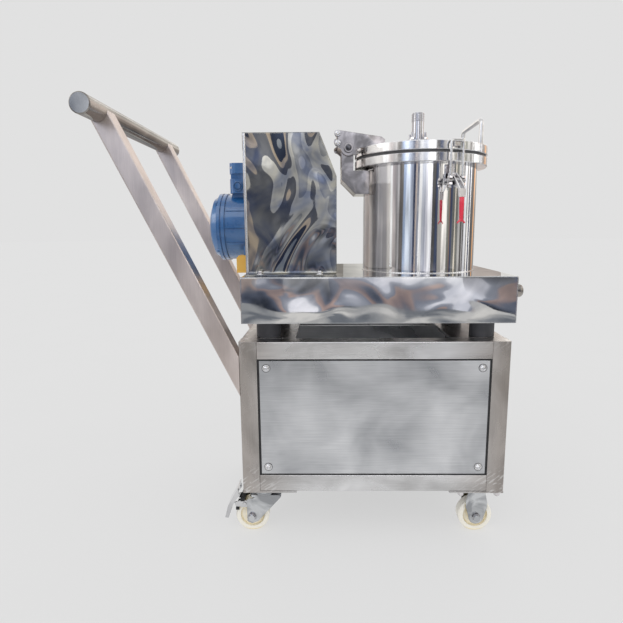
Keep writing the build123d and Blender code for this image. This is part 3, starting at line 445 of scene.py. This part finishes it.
def raised(outline, height, bevel=0.0):
    """Raise a flat outline to a height, with its top edge eased."""
    mesh = bmesh.new()
    base = mesh.faces.new([mesh.verts.new((x, y, 0)) for x, y in outline])
    top = bmesh.ops.extrude_face_region(mesh, geom=[base])
    verts = [item for item in top["geom"] if isinstance(item, bmesh.types.BMVert)]
    bmesh.ops.translate(mesh, verts=verts, vec=(0, 0, height))
    if bevel:
        edges = [edge for edge in mesh.edges if all(v in verts for v in edge.verts)]
        bmesh.ops.bevel(mesh, geom=edges, offset=bevel, segments=2, affect="EDGES")
    return mesh


def rectangle(x0, y0, x1, y1):
    """The outline of a rectangle between two corners."""
    return [(x0, y0), (x1, y0), (x1, y1), (x0, y1)]


print("makers ready")

# %% [markdown]
# ## Placing copies
#
# The scene is in metres, so each copy is brought down from its millimetres as it is placed. Then the
# joined object takes its material, its smooth shading, and the body that it rides on.

# %% Placing and joining copies
UP = (0, 0, 1)
DOWN = (0, 0, -1)


def standing(point, up):
    """A matrix that stands a piece on a point with its Z along up."""
    return Matrix.Translation(point) @ Vector(up).normalized().to_track_quat("Z", "Y").to_matrix().to_4x4()


def merge(whole, piece):
    """Move a finished piece into a larger mesh."""
    data = bpy.data.meshes.new("copy")
    piece.to_mesh(data)
    piece.free()
    whole.from_mesh(data)
    bpy.data.meshes.remove(data)


def place_copies(name, make, matrices, finish, body, smooth=True):
    """Join copies of one made piece into one object that rides on a body."""
    whole = bmesh.new()
    for matrix in matrices:
        piece = make()
        piece.transform(matrix @ Matrix.Scale(MM, 4))
        merge(whole, piece)
    bmesh.ops.recalc_face_normals(whole, faces=whole.faces)
    data = bpy.data.meshes.new(name)
    whole.to_mesh(data)
    whole.free()
    obj = bpy.data.objects.new(name, data)
    bpy.context.scene.collection.objects.link(obj)
    data.materials.append(finish)
    if smooth:
        data.shade_smooth()
        data.set_sharp_from_angle(angle=radians(35))
    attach(obj, body)
    return obj


print("copies are placed at", MM, "of the size they are drawn at")

# %% Screws, nuts and bolts
WASHER = 0.8


def button_screw(radius, height):
    """A domed screw on a washer, with a round socket sunk in its head."""
    socket = radius * 0.42
    dome = [(radius, 0), (radius, height * 0.25), (radius * 0.86, height * 0.7),
            (radius * 0.6, height * 0.95), (socket, height), (socket, height * 0.45), (0, height * 0.45)]
    washer = [(radius * 1.28, 0), (radius * 1.28, WASHER)]
    return turned(washer + [(r, h + WASHER) for r, h in dome], 20)


def hexagon(across):
    """The corners of a six-sided nut of a given width across its flats."""
    reach = across / 2 / cos(pi / 6)
    return [(reach * cos(pi / 3 * k), reach * sin(pi / 3 * k)) for k in range(6)]


def hex_bolt(across, height, stud=0.0):
    """A washer, a six-sided head and, if asked, the stud end standing out of it."""
    mesh = raised(hexagon(across), height, bevel=height * 0.12)
    merge(mesh, turned([(across * 0.68, -1.2), (across * 0.68, 0.3), (0, 0.3)], 20))
    if stud:
        tip = height + stud * 1.15
        merge(mesh, turned([(across * 0.3, 0), (across * 0.3, height + stud), (across * 0.24, tip),
                            (0, tip)], 16))
    return mesh


print("a 10 mm nut is", round(2 * hexagon(10)[0][0], 2), "mm over its corners")

# %% [markdown]
# ## Screws that hold the panels
#
# Each panel is held at its four corners by a button-head screw into the tab behind it. They are
# placed from each panel's own box, one fixed distance in from its corner.

# %% Panel screws
SCREW_INSET = 17
# Each face of a panel: its node, the axis that it looks along (0 is X, 1 is Y) and which way.
PANEL_FACES = (("front_panel", 1, -1), ("rear_panel", 1, 1), ("side_panels", 0, -1), ("side_panels", 0, 1))


def panel_corners(node, out_axis, out_sign):
    """Places near the four corners of a panel's outer face, looking the way that the face does."""
    low, high = (Vector(corner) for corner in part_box(node))
    across, inset = 1 - out_axis, SCREW_INSET * MM
    places = []
    for aside in (low[across] + inset, high[across] - inset):
        for z in (low.z + inset, high.z - inset):
            point, out = Vector((0, 0, z)), Vector((0, 0, 0))
            point[across] = aside
            point[out_axis] = (high if out_sign > 0 else low)[out_axis]
            out[out_axis] = out_sign
            places.append(standing(point, out))
    return places


screw_places = [place for face in PANEL_FACES for place in panel_corners(*face)]
# The black seal under each screw is rubber, and its dark ring also stands in for the shade round the screw
# head: painted shade.
place_copies("panel_screw_seals_and_shade", lambda: turned([(9.4, 0), (9.4, 0.7), (0, 0.7)], 24), screw_places,
             edging_rubber, "cart")
place_copies("panel_screws", lambda: button_screw(6.6, 5.0), screw_places, ring_steel, "cart")
print("panel screws:", len(screw_places))

# %% [markdown]
# ## Edging round the panels
#
# A thin black line runs round each panel: the gap between sheet and tube is closed with a strip
# of rubber, which laps a little over the panel's upright edges.

# %% Rubber strips in the panel gaps
GAP = 3.0
LAP = 1.6
PROUD = 0.4
STRIP_DEPTH = 2.0


def edging(node, out_axis, out_sign):
    """Four strips round one panel, each a box given by its two far corners."""
    low, high = (Vector(corner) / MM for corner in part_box(node))
    across = 1 - out_axis
    face = (high if out_sign > 0 else low)[out_axis] + out_sign * PROUD
    depths = sorted((face, face - out_sign * STRIP_DEPTH))
    left, right, foot, top = low[across], high[across], low.z, high.z
    boxes = []
    for start, end in (((left - GAP, foot - GAP), (right + GAP, foot)),
                       ((left - GAP, top), (right + GAP, top + GAP)),
                       ((left - GAP, foot), (left + LAP, top)),
                       ((right - LAP, foot), (right + GAP, top))):
        near, far = Vector((0, 0, start[1])), Vector((0, 0, end[1]))
        near[across], far[across] = start[0], end[0]
        near[out_axis], far[out_axis] = depths
        boxes.append((near, far))
    return boxes


def box_mesh(near, far):
    """A box between two corners, with its long edges eased."""
    mesh = bmesh.new()
    bmesh.ops.create_cube(mesh, size=1.0)
    for vert in mesh.verts:
        vert.co = Vector([near[k] + (vert.co[k] + 0.5) * (far[k] - near[k]) for k in range(3)])
    edges = [edge for edge in mesh.edges if edge.calc_length() > 10]
    bmesh.ops.bevel(mesh, geom=edges, offset=0.4, segments=1, affect="EDGES")
    return mesh


rubber_strips = [box for face in PANEL_FACES for box in edging(*face)]
for number, (near, far) in enumerate(rubber_strips, 1):
    place_copies(f"panel_edging_{number:02d}", lambda: box_mesh(near, far), [Matrix.Identity(4)],
                 edging_rubber, "cart", smooth=False)
print("edging strips:", len(rubber_strips))

# %% [markdown]
# ## Bolts, nuts and threads
#
# The rest of the hardware is placed by millimetres from the cart's own centre line, the way a
# fitter's drawing gives it. The scene's origin sits a little to the left of that line, so one short
# function turns drawing places into scene places.

# %% A place on the drawing
def spot(x, y, z):
    """A point given in millimetres from the cart's centre line and the floor."""
    return Vector(((x + CENTRE_LINE) * MM, y * MM, z * MM))


DECK_TOP = 619
VESSEL_MIDDLE = 126.5
LID_TOP = 910.25
CASTER_ROW = 160
print("drawing places start at", tuple(round(v, 4) for v in spot(0, 0, 0)))

# %% Bolts on the guard's feet and nuts under the caster plates
guard_bolts = [standing(spot(x, side * 174, DECK_TOP + 3.6), UP) for x in (-252, -120) for side in (-1, 1)]
place_copies("guard_foot_bolts", lambda: hex_bolt(12.5, 7.5), guard_bolts, ring_steel, "cart")


def plate_corners(xs, reach):
    """Places under the two caster plates on one end of the cart, one for each corner."""
    return [standing(spot(x, side * CASTER_ROW + dy, 113.3), DOWN)
            for side in (-1, 1) for dy in (-reach, reach) for x in xs]


fixed_nuts, swivel_nuts = plate_corners((208, 292), 32), plate_corners((-208, -291), 20)
place_copies("fixed_caster_nuts", lambda: hex_bolt(13.5, 9, stud=2.5), fixed_nuts, latch_steel, "cart")
place_copies("swivel_caster_nuts", lambda: hex_bolt(11.5, 5.5, stud=1.0), swivel_nuts, caster_zinc, "cart")
print("guard bolts:", len(guard_bolts), "caster nuts:", len(swivel_nuts) + len(fixed_nuts))

# %% Nuts on the four axles
AXLE_HEIGHT = 40
for body, x, rows in (("cart", 250, (-1, 1)), ("swivel_front", -286, (-1,)), ("swivel_rear", -286, (1,))):
    axle_nuts = [standing(spot(x, row * CASTER_ROW + out * 21, AXLE_HEIGHT), (0, out, 0))
                 for row in rows for out in (-1, 1)]
    place_copies("axle_nuts_" + body, lambda: raised(hexagon(16.5), 5.5, bevel=0.9), axle_nuts, latch_steel,
                 body)
print("axle nuts ready")

# %% [markdown]
# ## Threads and studs on the feed nozzle
#
# The top of the nozzle carries a pipe thread. A real thread is one spiral, but at this size the
# eye only finds rings, so it is turned as a row of rings from one zigzag profile. The foot of
# the nozzle is held by four studs, each with a nut.

# %% Nozzle thread and stud nuts
THREAD_PITCH = 5.2
THREAD_RINGS = 4
NOZZLE_Y = 35
thread = [(14.6, 0)]
for k in range(THREAD_RINGS):
    low = k * THREAD_PITCH
    thread += [(14.7 if k else 14.6, low + 0.9), (16.0, low + 2.2), (16.0, low + 3.2), (14.7, low + 4.6)]
thread.append((14.6, THREAD_RINGS * THREAD_PITCH))
place_copies("nozzle_thread", lambda: turned(thread, 48),
             [standing(spot(VESSEL_MIDDLE, NOZZLE_Y, LID_TOP + 74.5), UP)], pipe_steel, "lid")

stud_places = [standing(spot(VESSEL_MIDDLE + 23 * cos(a), NOZZLE_Y + 23 * sin(a), LID_TOP + 30.4), UP)
               for a in [radians(45 + 90 * k) for k in range(4)]]
place_copies("nozzle_stud_nuts", lambda: hex_bolt(10, 6), stud_places, ring_steel, "lid")
print("thread rings:", THREAD_RINGS, "stud nuts:", len(stud_places))

# %% [markdown]
# ## Hinge and latch hardware
#
# The hinge bolts have domed heads with a sunk socket, and the pin has a dark dome at each end. The
# hooks are threaded so that their length can be set, with a nut above and below the trunnion bar.

# %% Hinge heads and hook nuts
HINGE_X, HINGE_Z = -52.0, 910.0
LATCHES = (("front", -72.0), ("rear", 72.0))
hinge_heads = [standing(spot(HINGE_X - 25.5, out * 60.0, HINGE_Z + dz), (0, out, 0))
               for out in (-1, 1) for dz in (33.0, 11.5)]
place_copies("hinge_bolt_heads", lambda: button_screw(5.2, 3.4), hinge_heads, ring_steel, "lid")
pin_heads = [standing(spot(HINGE_X, out * 62.4, HINGE_Z), (0, out, 0)) for out in (-1, 1)]
place_copies("hinge_pin_washers", lambda: turned([(10.5, -0.6), (10.5, 0.5), (0, 0.5)], 32), pin_heads,
             plate_steel, "cart")
pin_dome = [(7.4, 0.4), (7.0, 1.6), (5.2, 2.8), (2.6, 3.4), (0, 3.6)]
place_copies("hinge_pin_domes", lambda: turned(pin_dome, 28), pin_heads, dark_bolt, "cart")


def latch_spot(angle, out, along, height):
    """A point by distance from the vessel's middle, distance along the rim and height."""
    a = radians(angle)
    return spot(VESSEL_MIDDLE + out * cos(a) - along * sin(a), out * sin(a) + along * cos(a), height)


for name, angle in LATCHES:
    hook_nuts = [standing(latch_spot(angle, 168, along, height), UP)
                 for along in (-15, 15) for height in (814.2, 828.2)]
    place_copies("hook_nuts_" + name, lambda: raised(hexagon(11.6), 5.6, bevel=0.8), hook_nuts, latch_steel,
                 "hook_" + name)
print("hinge heads:", len(hinge_heads) + len(pin_heads))

# %% [markdown]
# ## Latch grips
#
# Each lever ends in a slim moulded grip that narrows downwards and parts into two horns, so that a
# finger can hook under it. The body and the horns are each a row of oval sections joined up.

# %% Slim grips with a forked end
def through_ovals(sections, steps=14):
    """Join ovals, each given as a centre and half sizes along X and Y, into one closed form."""
    mesh = bmesh.new()
    rings = [oval(mesh, centre, half_x, half_y, steps) for centre, half_x, half_y in sections]
    mesh.faces.new(list(reversed(rings[0])))
    mesh.faces.new(rings[-1])
    for low, high in zip(rings, rings[1:]):
        bridge(mesh, low, high)
    return mesh


GRIP_OUT, GRIP_TOP = 192.0, 787.0
body_ovals = [((GRIP_OUT, 0, GRIP_TOP - down), half_x, half_y) for down, half_x, half_y in (
    (0, 3.4, 5.4), (2, 4.2, 6.0), (14, 4.3, 5.7), (28, 4.1, 5.2), (42, 3.8, 4.6), (49, 3.4, 4.3),
    (52, 2.4, 3.2))]
horn_ovals = [((GRIP_OUT, aside, GRIP_TOP - down), half_x, half_y) for aside, down, half_x, half_y in (
    (1.6, 46, 2.8, 2.4), (3.4, 49.5, 2.8, 3.0), (6.2, 52.0, 2.4, 3.0), (8.2, 54.0, 2.0, 2.2),
    (9.0, 55.6, 1.1, 1.2))]
mirrored_horn = [((x, -y, z), half_x, half_y) for (x, y, z), half_x, half_y in horn_ovals]
for name, angle in LATCHES:
    turn = Matrix.Translation(spot(VESSEL_MIDDLE, 0, 0)) @ Matrix.Rotation(radians(angle), 4, "Z")
    parts = iter((body_ovals, horn_ovals, mirrored_horn))
    grip = place_copies("moulded_grip_" + name, lambda: through_ovals(next(parts)), [turn] * 3, grip_vinyl,
                        "lever_" + name)
    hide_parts("latch_grip_" + name)
print("grips ready")

# %% [markdown]
# ## Motor castings
#
# A cast motor housing has low ribs along it, cover screws round the end, and a terminal box with
# studs through its seam, cover screws and a blanking plug where a cable could enter.

# %% Ribs, screws and studs on the motor
MOTOR_AXIS = DECK_TOP + 108.5
BOX_LEFT, BOX_RIGHT, BOX_FOOT = -339.0, -221.0, MOTOR_AXIS + 80.0


def round_motor(x, radius, angle):
    """A point at an angle round the motor's axis."""
    return spot(x, radius * cos(radians(angle)), MOTOR_AXIS + radius * sin(radians(angle)))


def on_box(inset, aside, height):
    """Four places on the terminal box, looking up."""
    return [standing(spot(x, side * aside, BOX_FOOT + height), UP)
            for x in (BOX_LEFT + inset, BOX_RIGHT - inset) for side in (-1, 1)]


ribs = [Matrix.Translation(round_motor(-346, 79.2, angle)) @ Matrix.Rotation(radians(angle) - pi / 2, 4, "X")
        for angle in (150, 180, 210, 330, 0, 30)]
place_copies("motor_ribs", lambda: raised(rectangle(0, -4, 216, 4), 2.6, bevel=0.8), ribs, motor_enamel,
             "cart")
cover_screws = [standing(round_motor(-368, 80, angle), (-1, 0, 0)) for angle in (45, 135, 225, 315)]
place_copies("motor_cover_screws", lambda: raised(hexagon(8.5), 5, bevel=0.8), cover_screws, motor_enamel,
             "cart")
studs = on_box(12, 42, 20)
place_copies("terminal_box_studs", lambda: turned([(0, 0), (4, 0), (4, 36), (0, 36)], 16), studs, latch_steel,
             "cart")
place_copies("terminal_box_screws", lambda: raised(hexagon(8), 5, bevel=0.7), on_box(8, 47, 57.8), ring_steel,
             "cart")
plugs = [standing(spot(BOX_LEFT + 22, side * 53, BOX_FOOT + 17), (0, side, 0)) for side in (-1, 1)]
plug_profile = [(12, 0), (12, 3), (9.5, 3.6), (9.5, 1.8), (7.5, 1.8), (7.0, 4.6), (0, 4.8)]
place_copies("cable_plugs", lambda: turned(plug_profile, 28), plugs, motor_enamel, "cart")
print("ribs:", len(ribs), "cover screws:", len(cover_screws), "studs:", len(studs))

# %% [markdown]
# ## Weld beads
#
# The vessel is welded to the deck round its foot, and the outlet where it leaves the deck's side. A
# bead is a low, slightly rippled fillet. Here it is a thin ring with small steps in its height.

# %% Weld beads at the vessel foot and the outlet
def bead_ring(radius, size, ripples):
    """A rippled fillet round a pipe of the given radius."""
    mesh = bmesh.new()
    rings = []
    for k in range(ripples * 3):
        a = 2 * pi * k / (ripples * 3)
        rise = size * (1.14 if k % 3 == 0 else 0.93)
        section = [(radius - 0.3, -0.2), (radius + rise, -0.2), (radius + rise * 0.72, rise * 0.62),
                   (radius - 0.3, rise)]
        rings.append([mesh.verts.new((r * cos(a), r * sin(a), z)) for r, z in section])
    for ring, ahead in zip(rings, rings[1:] + rings[:1]):
        bridge(mesh, ring, ahead)
    return mesh


place_copies("vessel_foot_weld", lambda: bead_ring(138, 2.0, 190),
             [standing(spot(VESSEL_MIDDLE, 0, DECK_TOP), UP)], ring_steel, "cart")
place_copies("outlet_weld", lambda: bead_ring(15, 2.2, 24), [standing(spot(307.5, -140, 579), (1, 0, 0))],
             ring_steel, "cart")
print("weld beads ready")

# %% [markdown]
# ## The guard's hem
#
# The open end of the guard is folded back on itself, so that nobody meets a raw edge. The fold is
# round, so it catches light from everywhere and reads as a bright line. It is a half-round bead
# laid up the front and the rear of the opening.

# %% Half-round hem on the guard's open end
HEM_WIDTH = 7.0
HEM_RISE = 2.2
GUARD_EDGE, GUARD_HALF, GUARD_RISE = -286.0 + HEM_WIDTH / 2, 160.0, 308.0


def half_round(length):
    """A half-round bead along X, flat underneath."""
    sides = [(HEM_WIDTH / 2 * cos(pi * k / 8), HEM_RISE * sin(pi * k / 8)) for k in range(9)]
    mesh = bmesh.new()
    near, far = ([mesh.verts.new((x, y, z)) for y, z in sides] for x in (0, length))
    mesh.faces.new(near)
    mesh.faces.new(list(reversed(far)))
    bridge(mesh, near, far)
    return mesh


# The bead's X runs up the guard, and its Z looks out to the front or the rear.
upright_hems = [Matrix.Translation(spot(GUARD_EDGE, side * GUARD_HALF, DECK_TOP + 3.5))
                @ Matrix(((0, 1, 0, 0), (0, 0, side, 0), (1, 0, 0, 0), (0, 0, 0, 1))) for side in (-1, 1)]
place_copies("guard_hem_upright", lambda: half_round(GUARD_RISE - 5), upright_hems, rod_steel, "cart")
print("hems:", len(upright_hems))

# %% [markdown]
# ## Brake blocks
#
# Each swivel caster has a black rubber stop between the pedal and the fork, and a rubber block
# that the pedal presses on the tread.

# %% Rubber blocks on the brake pedals
for name, side in (("front", -1), ("rear", 1)):
    blocks = [Matrix.Translation(spot(-308, side * CASTER_ROW, 79)),
              Matrix.Translation(spot(-321, side * CASTER_ROW, 56)) @ Matrix.Diagonal((0.8, 0.9, 0.75, 1))]
    place_copies("brake_blocks_" + name, lambda: raised(rectangle(-5, -21.2, 5, 21.2), 10, bevel=1.5), blocks,
                 edging_rubber, "swivel_" + name)
print("brake blocks ready")

# %% [markdown]
# ## The camera
#
# The camera stands where the photographer stood, a little to the left of the middle and looking
# slightly down. Its place, its three angles and its focal length were found by matching the corners
# of the frame with the picture.

# %% Camera
PHOTO_SIZE = 623
FOCAL_PIXELS = 482.66
CENTRE_PIXEL = (321.93, 309.14)
SENSOR = 36.0
eye = Vector((0.02405, -1.2446, 0.7183))
pitch, yaw, roll = 0.162, -0.0129, -0.0059

forward = Vector((sin(yaw) * cos(pitch), cos(yaw) * cos(pitch), -sin(pitch)))
level_right = forward.cross(Vector((0, 0, 1))).normalized()
level_up = level_right.cross(forward)
right = cos(roll) * level_right + sin(roll) * level_up
up = cos(roll) * level_up - sin(roll) * level_right
camera_data = bpy.data.cameras.new("photo_camera")
camera_data.sensor_width = SENSOR
camera_data.lens = FOCAL_PIXELS / PHOTO_SIZE * SENSOR
camera_data.shift_x = -(CENTRE_PIXEL[0] - PHOTO_SIZE / 2) / PHOTO_SIZE
camera_data.shift_y = (CENTRE_PIXEL[1] - PHOTO_SIZE / 2) / PHOTO_SIZE
camera_data.clip_end = 200
camera = bpy.data.objects.new("photo_camera", camera_data)
camera.matrix_world = Matrix([(right[k], up[k], -forward[k], eye[k]) for k in range(3)] + [(0, 0, 0, 1)])
bpy.context.scene.collection.objects.link(camera)
bpy.context.scene.camera = camera
print("camera lens", round(camera_data.lens, 2), "mm")

# %% [markdown]
# ## Floor and sky
#
# The machine stands on a pale ground with no horizon. The floor glows a little, just enough for its
# colour to meet the sky's, and it still takes the soft shadow under the cart.

# %% Floor and sky of one pale grey
BACKDROP = "#E1E1E1"

bpy.context.scene.view_settings.view_transform = "Standard"
world = bpy.data.worlds.new("pale_studio")
world.use_nodes = True
world.node_tree.nodes["Background"].inputs["Color"].default_value = linear(BACKDROP)
bpy.context.scene.world = world


def stage_piece(name, profile, material):
    """A round piece of the studio, spun from a profile in metres."""
    data = bpy.data.meshes.new(name)
    mesh = turned(profile, 96)
    mesh.to_mesh(data)
    mesh.free()
    data.materials.append(material)
    obj = bpy.data.objects.new(name, data)
    bpy.context.scene.collection.objects.link(obj)
    return obj


floor_paint, floor_tree, floor_shader = start_material("matt_floor_paint")
floor_patches = noise(floor_tree, place_in(floor_tree), 3.0)
feed(floor_tree, floor_shader, blend(floor_tree, floor_patches, linear("#7A7A7A"), linear("#7D7D7D")))
floor_shader.inputs["Roughness"].default_value = 1.0
floor_shader.inputs["Specular IOR Level"].default_value = 0.0
floor_shader.inputs["Emission Color"].default_value = linear(BACKDROP)
floor_shader.inputs["Emission Strength"].default_value = 0.757
stage_piece("studio_floor", [(0, 0), (40.0, 0)], floor_paint)
print("floor and sky ready")

# %% [markdown]
# ## Soft lights
#
# Three weak, very wide suns give the forms their light and dark sides. A wide sun has no edge that a
# mirror could show as a box.

# %% Three wide suns
def wide_sun(name, came_from, strength, angle):
    """A sun of a given width in degrees."""
    data = bpy.data.lights.new(name, "SUN")
    data.energy = strength
    data.angle = radians(angle)
    lamp = bpy.data.objects.new(name, data)
    lamp.matrix_world = standing((0, 0, 3), came_from)
    bpy.context.scene.collection.objects.link(lamp)
    return lamp


suns = [wide_sun("key_sun", (-0.5, -0.7, 0.9), 0.50, 50), wide_sun("side_sun", (0.9, -0.3, 0.6), 0.20, 60),
        wide_sun("back_sun", (0.1, 0.8, 1.0), 0.18, 60)]
print("suns:", len(suns))

# %% [markdown]
# ## Something for the steel to mirror
#
# Polished steel has no look of its own: it shows the room. A plain studio would leave it flat and
# white. So a ring of upright strips stands round the machine, light and dark like the windows and
# doorways of a workshop, and pale patches lie on the floor round it. Only reflections see them: the
# camera, the shadows and the painted parts don't.

# %% Colours of the reflected room
RING_RADIUS = 3.6
RING_HEIGHT = 3.2
# Each strip starts at this many degrees round from the right-hand side and runs to the next one.
strips = [
    (-180, "#8F8A88"), (-175, "#FAFAF8"), (-162, "#B9B9B8"), (-151, "#9C9694"), (-143, "#7C7A79"),
    (-138, "#A5A3A1"), (-134, "#66635F"), (-126, "#8390A6"), (-122, "#BAC2CD"), (-114, "#8C93A0"),
    (-108, "#3A4256"), (-104, "#B0A49A"), (-101, "#6B6E78"), (-96, "#C9C9CA"), (-90, "#9C9FA8"),
    (-84, "#B9B9BE"), (-80, "#DCDCDC"), (-71, "#4A4948"), (-64, "#3C4356"), (-58, "#85827E"),
    (-51, "#C4C1BC"), (-42, "#6A6A64"), (-36, "#8A6E58"), (-34, "#4A5064"), (-30, "#6E6F6B"),
    (-25, "#E0D6C2"), (-22, "#7B7B74"), (-16, "#B4B2AD"), (-11, "#5A5754"), (-7, "#C8C6C2"),
    (-3, "#5F5B57"), (-1, "#F4F4F2"), (6, "#9A9890"), (9, "#F4F1EA"), (14, "#454B60"), (17, "#E6E4E2"),
    (21, "#6B6865"), (35, "#B98A60"), (40, "#8A8784"), (58, "#D8D6D2"), (62, "#A39A94"), (80, "#A9A7A2"),
    (86, "#84807A"), (93, "#B5B3B0"), (100, "#8E8B88"),
]
# Near the floor the strips give way to patches, as benches and boxes do in a workshop.
low_patches = ((0.40, "#2C313D"), (0.43, "#4C515E"), (0.48, "#646A78"), (0.50, "#86797A"),
               (0.54, "#A8938C"), (0.555, "#858893"), (0.60, "#9C9FA8"), (0.615, "#D2D2D8"))
floor_tones = ((0.42, "#8E9298"), (0.46, "#BCBDBE"), (0.54, "#D0CFCC"), (0.57, "#F0EEEA"))
print("strips in the ring:", len(strips))

# %% [markdown]
# The strips are stops of a colour ramp that runs round the ring. A ramp holds 32 stops at most, so
# two ramps share the ring and meet at one of the stops. The ring glows more towards its top, where
# a workshop has its windows.

# %% Strips of the reflected room
MEETING = -58


def glowing(name):
    """An empty material, its tree and the place on its surface."""
    material = bpy.data.materials.new(name)
    material.use_nodes = True
    tree = material.node_tree
    tree.nodes.clear()
    return material, tree, place_in(tree)


def glow(tree, colour, strength=1.0):
    """End a tree with a glow."""
    shine = add(tree, "ShaderNodeEmission", {"Color": colour, "Strength": strength})
    add(tree, "ShaderNodeOutputMaterial", {"Surface": shine.outputs[0]})


def only_reflected(obj):
    """Hide a stage piece from all but reflections."""
    obj.visible_camera = False
    obj.visible_diffuse = False
    obj.visible_shadow = False


ring_glow, ring_tree, ring_place = glowing("workshop_strips")
turn_round = add(ring_tree, "ShaderNodeTexGradient", {"Vector": ring_place}, gradient_type="RADIAL")
around = turn_round.outputs["Fac"]


def strip_ramp(part):
    """Hard-edged strips, each at its share of the way round."""
    return ramp(ring_tree, around, [(start / 360 + 0.5, colour) for start, colour in part], "CONSTANT")


past_meeting = calculate(ring_tree, "GREATER_THAN", around, MEETING / 360 + 0.5)
strip_tone = blend(ring_tree, past_meeting, strip_ramp([strip for strip in strips if strip[0] < MEETING]),
                   strip_ramp([strip for strip in strips if strip[0] >= MEETING]))
height = component(ring_tree, ring_place, "Z")
patches = noise(ring_tree, ring_place, 1.6, detail=2.0, distortion=0.8)
low_tone = ramp(ring_tree, patches, low_patches)
ring_tone = blend(ring_tree, remap(ring_tree, height, 0.12, 0.42), low_tone, strip_tone)
glow(ring_tree, ring_tone, calculate(ring_tree, "MULTIPLY", remap(ring_tree, patches, 0.3, 0.7, 1.0, 1.9),
                                     remap(ring_tree, height, 0.9, 1.7, 1.0, 2.2)))
only_reflected(stage_piece("workshop_ring", [(RING_RADIUS, 0), (RING_RADIUS, RING_HEIGHT)], ring_glow))

mat_glow, mat_tree, mat_place = glowing("dark_floor_shapes")
glow(mat_tree, ramp(mat_tree, noise(mat_tree, mat_place, 1.8, detail=2.0, distortion=0.8), floor_tones))
only_reflected(stage_piece("workshop_floor_ring", [(1.5, 0.002), (RING_RADIUS, 0.002)], mat_glow))
print("ring and floor ring ready")
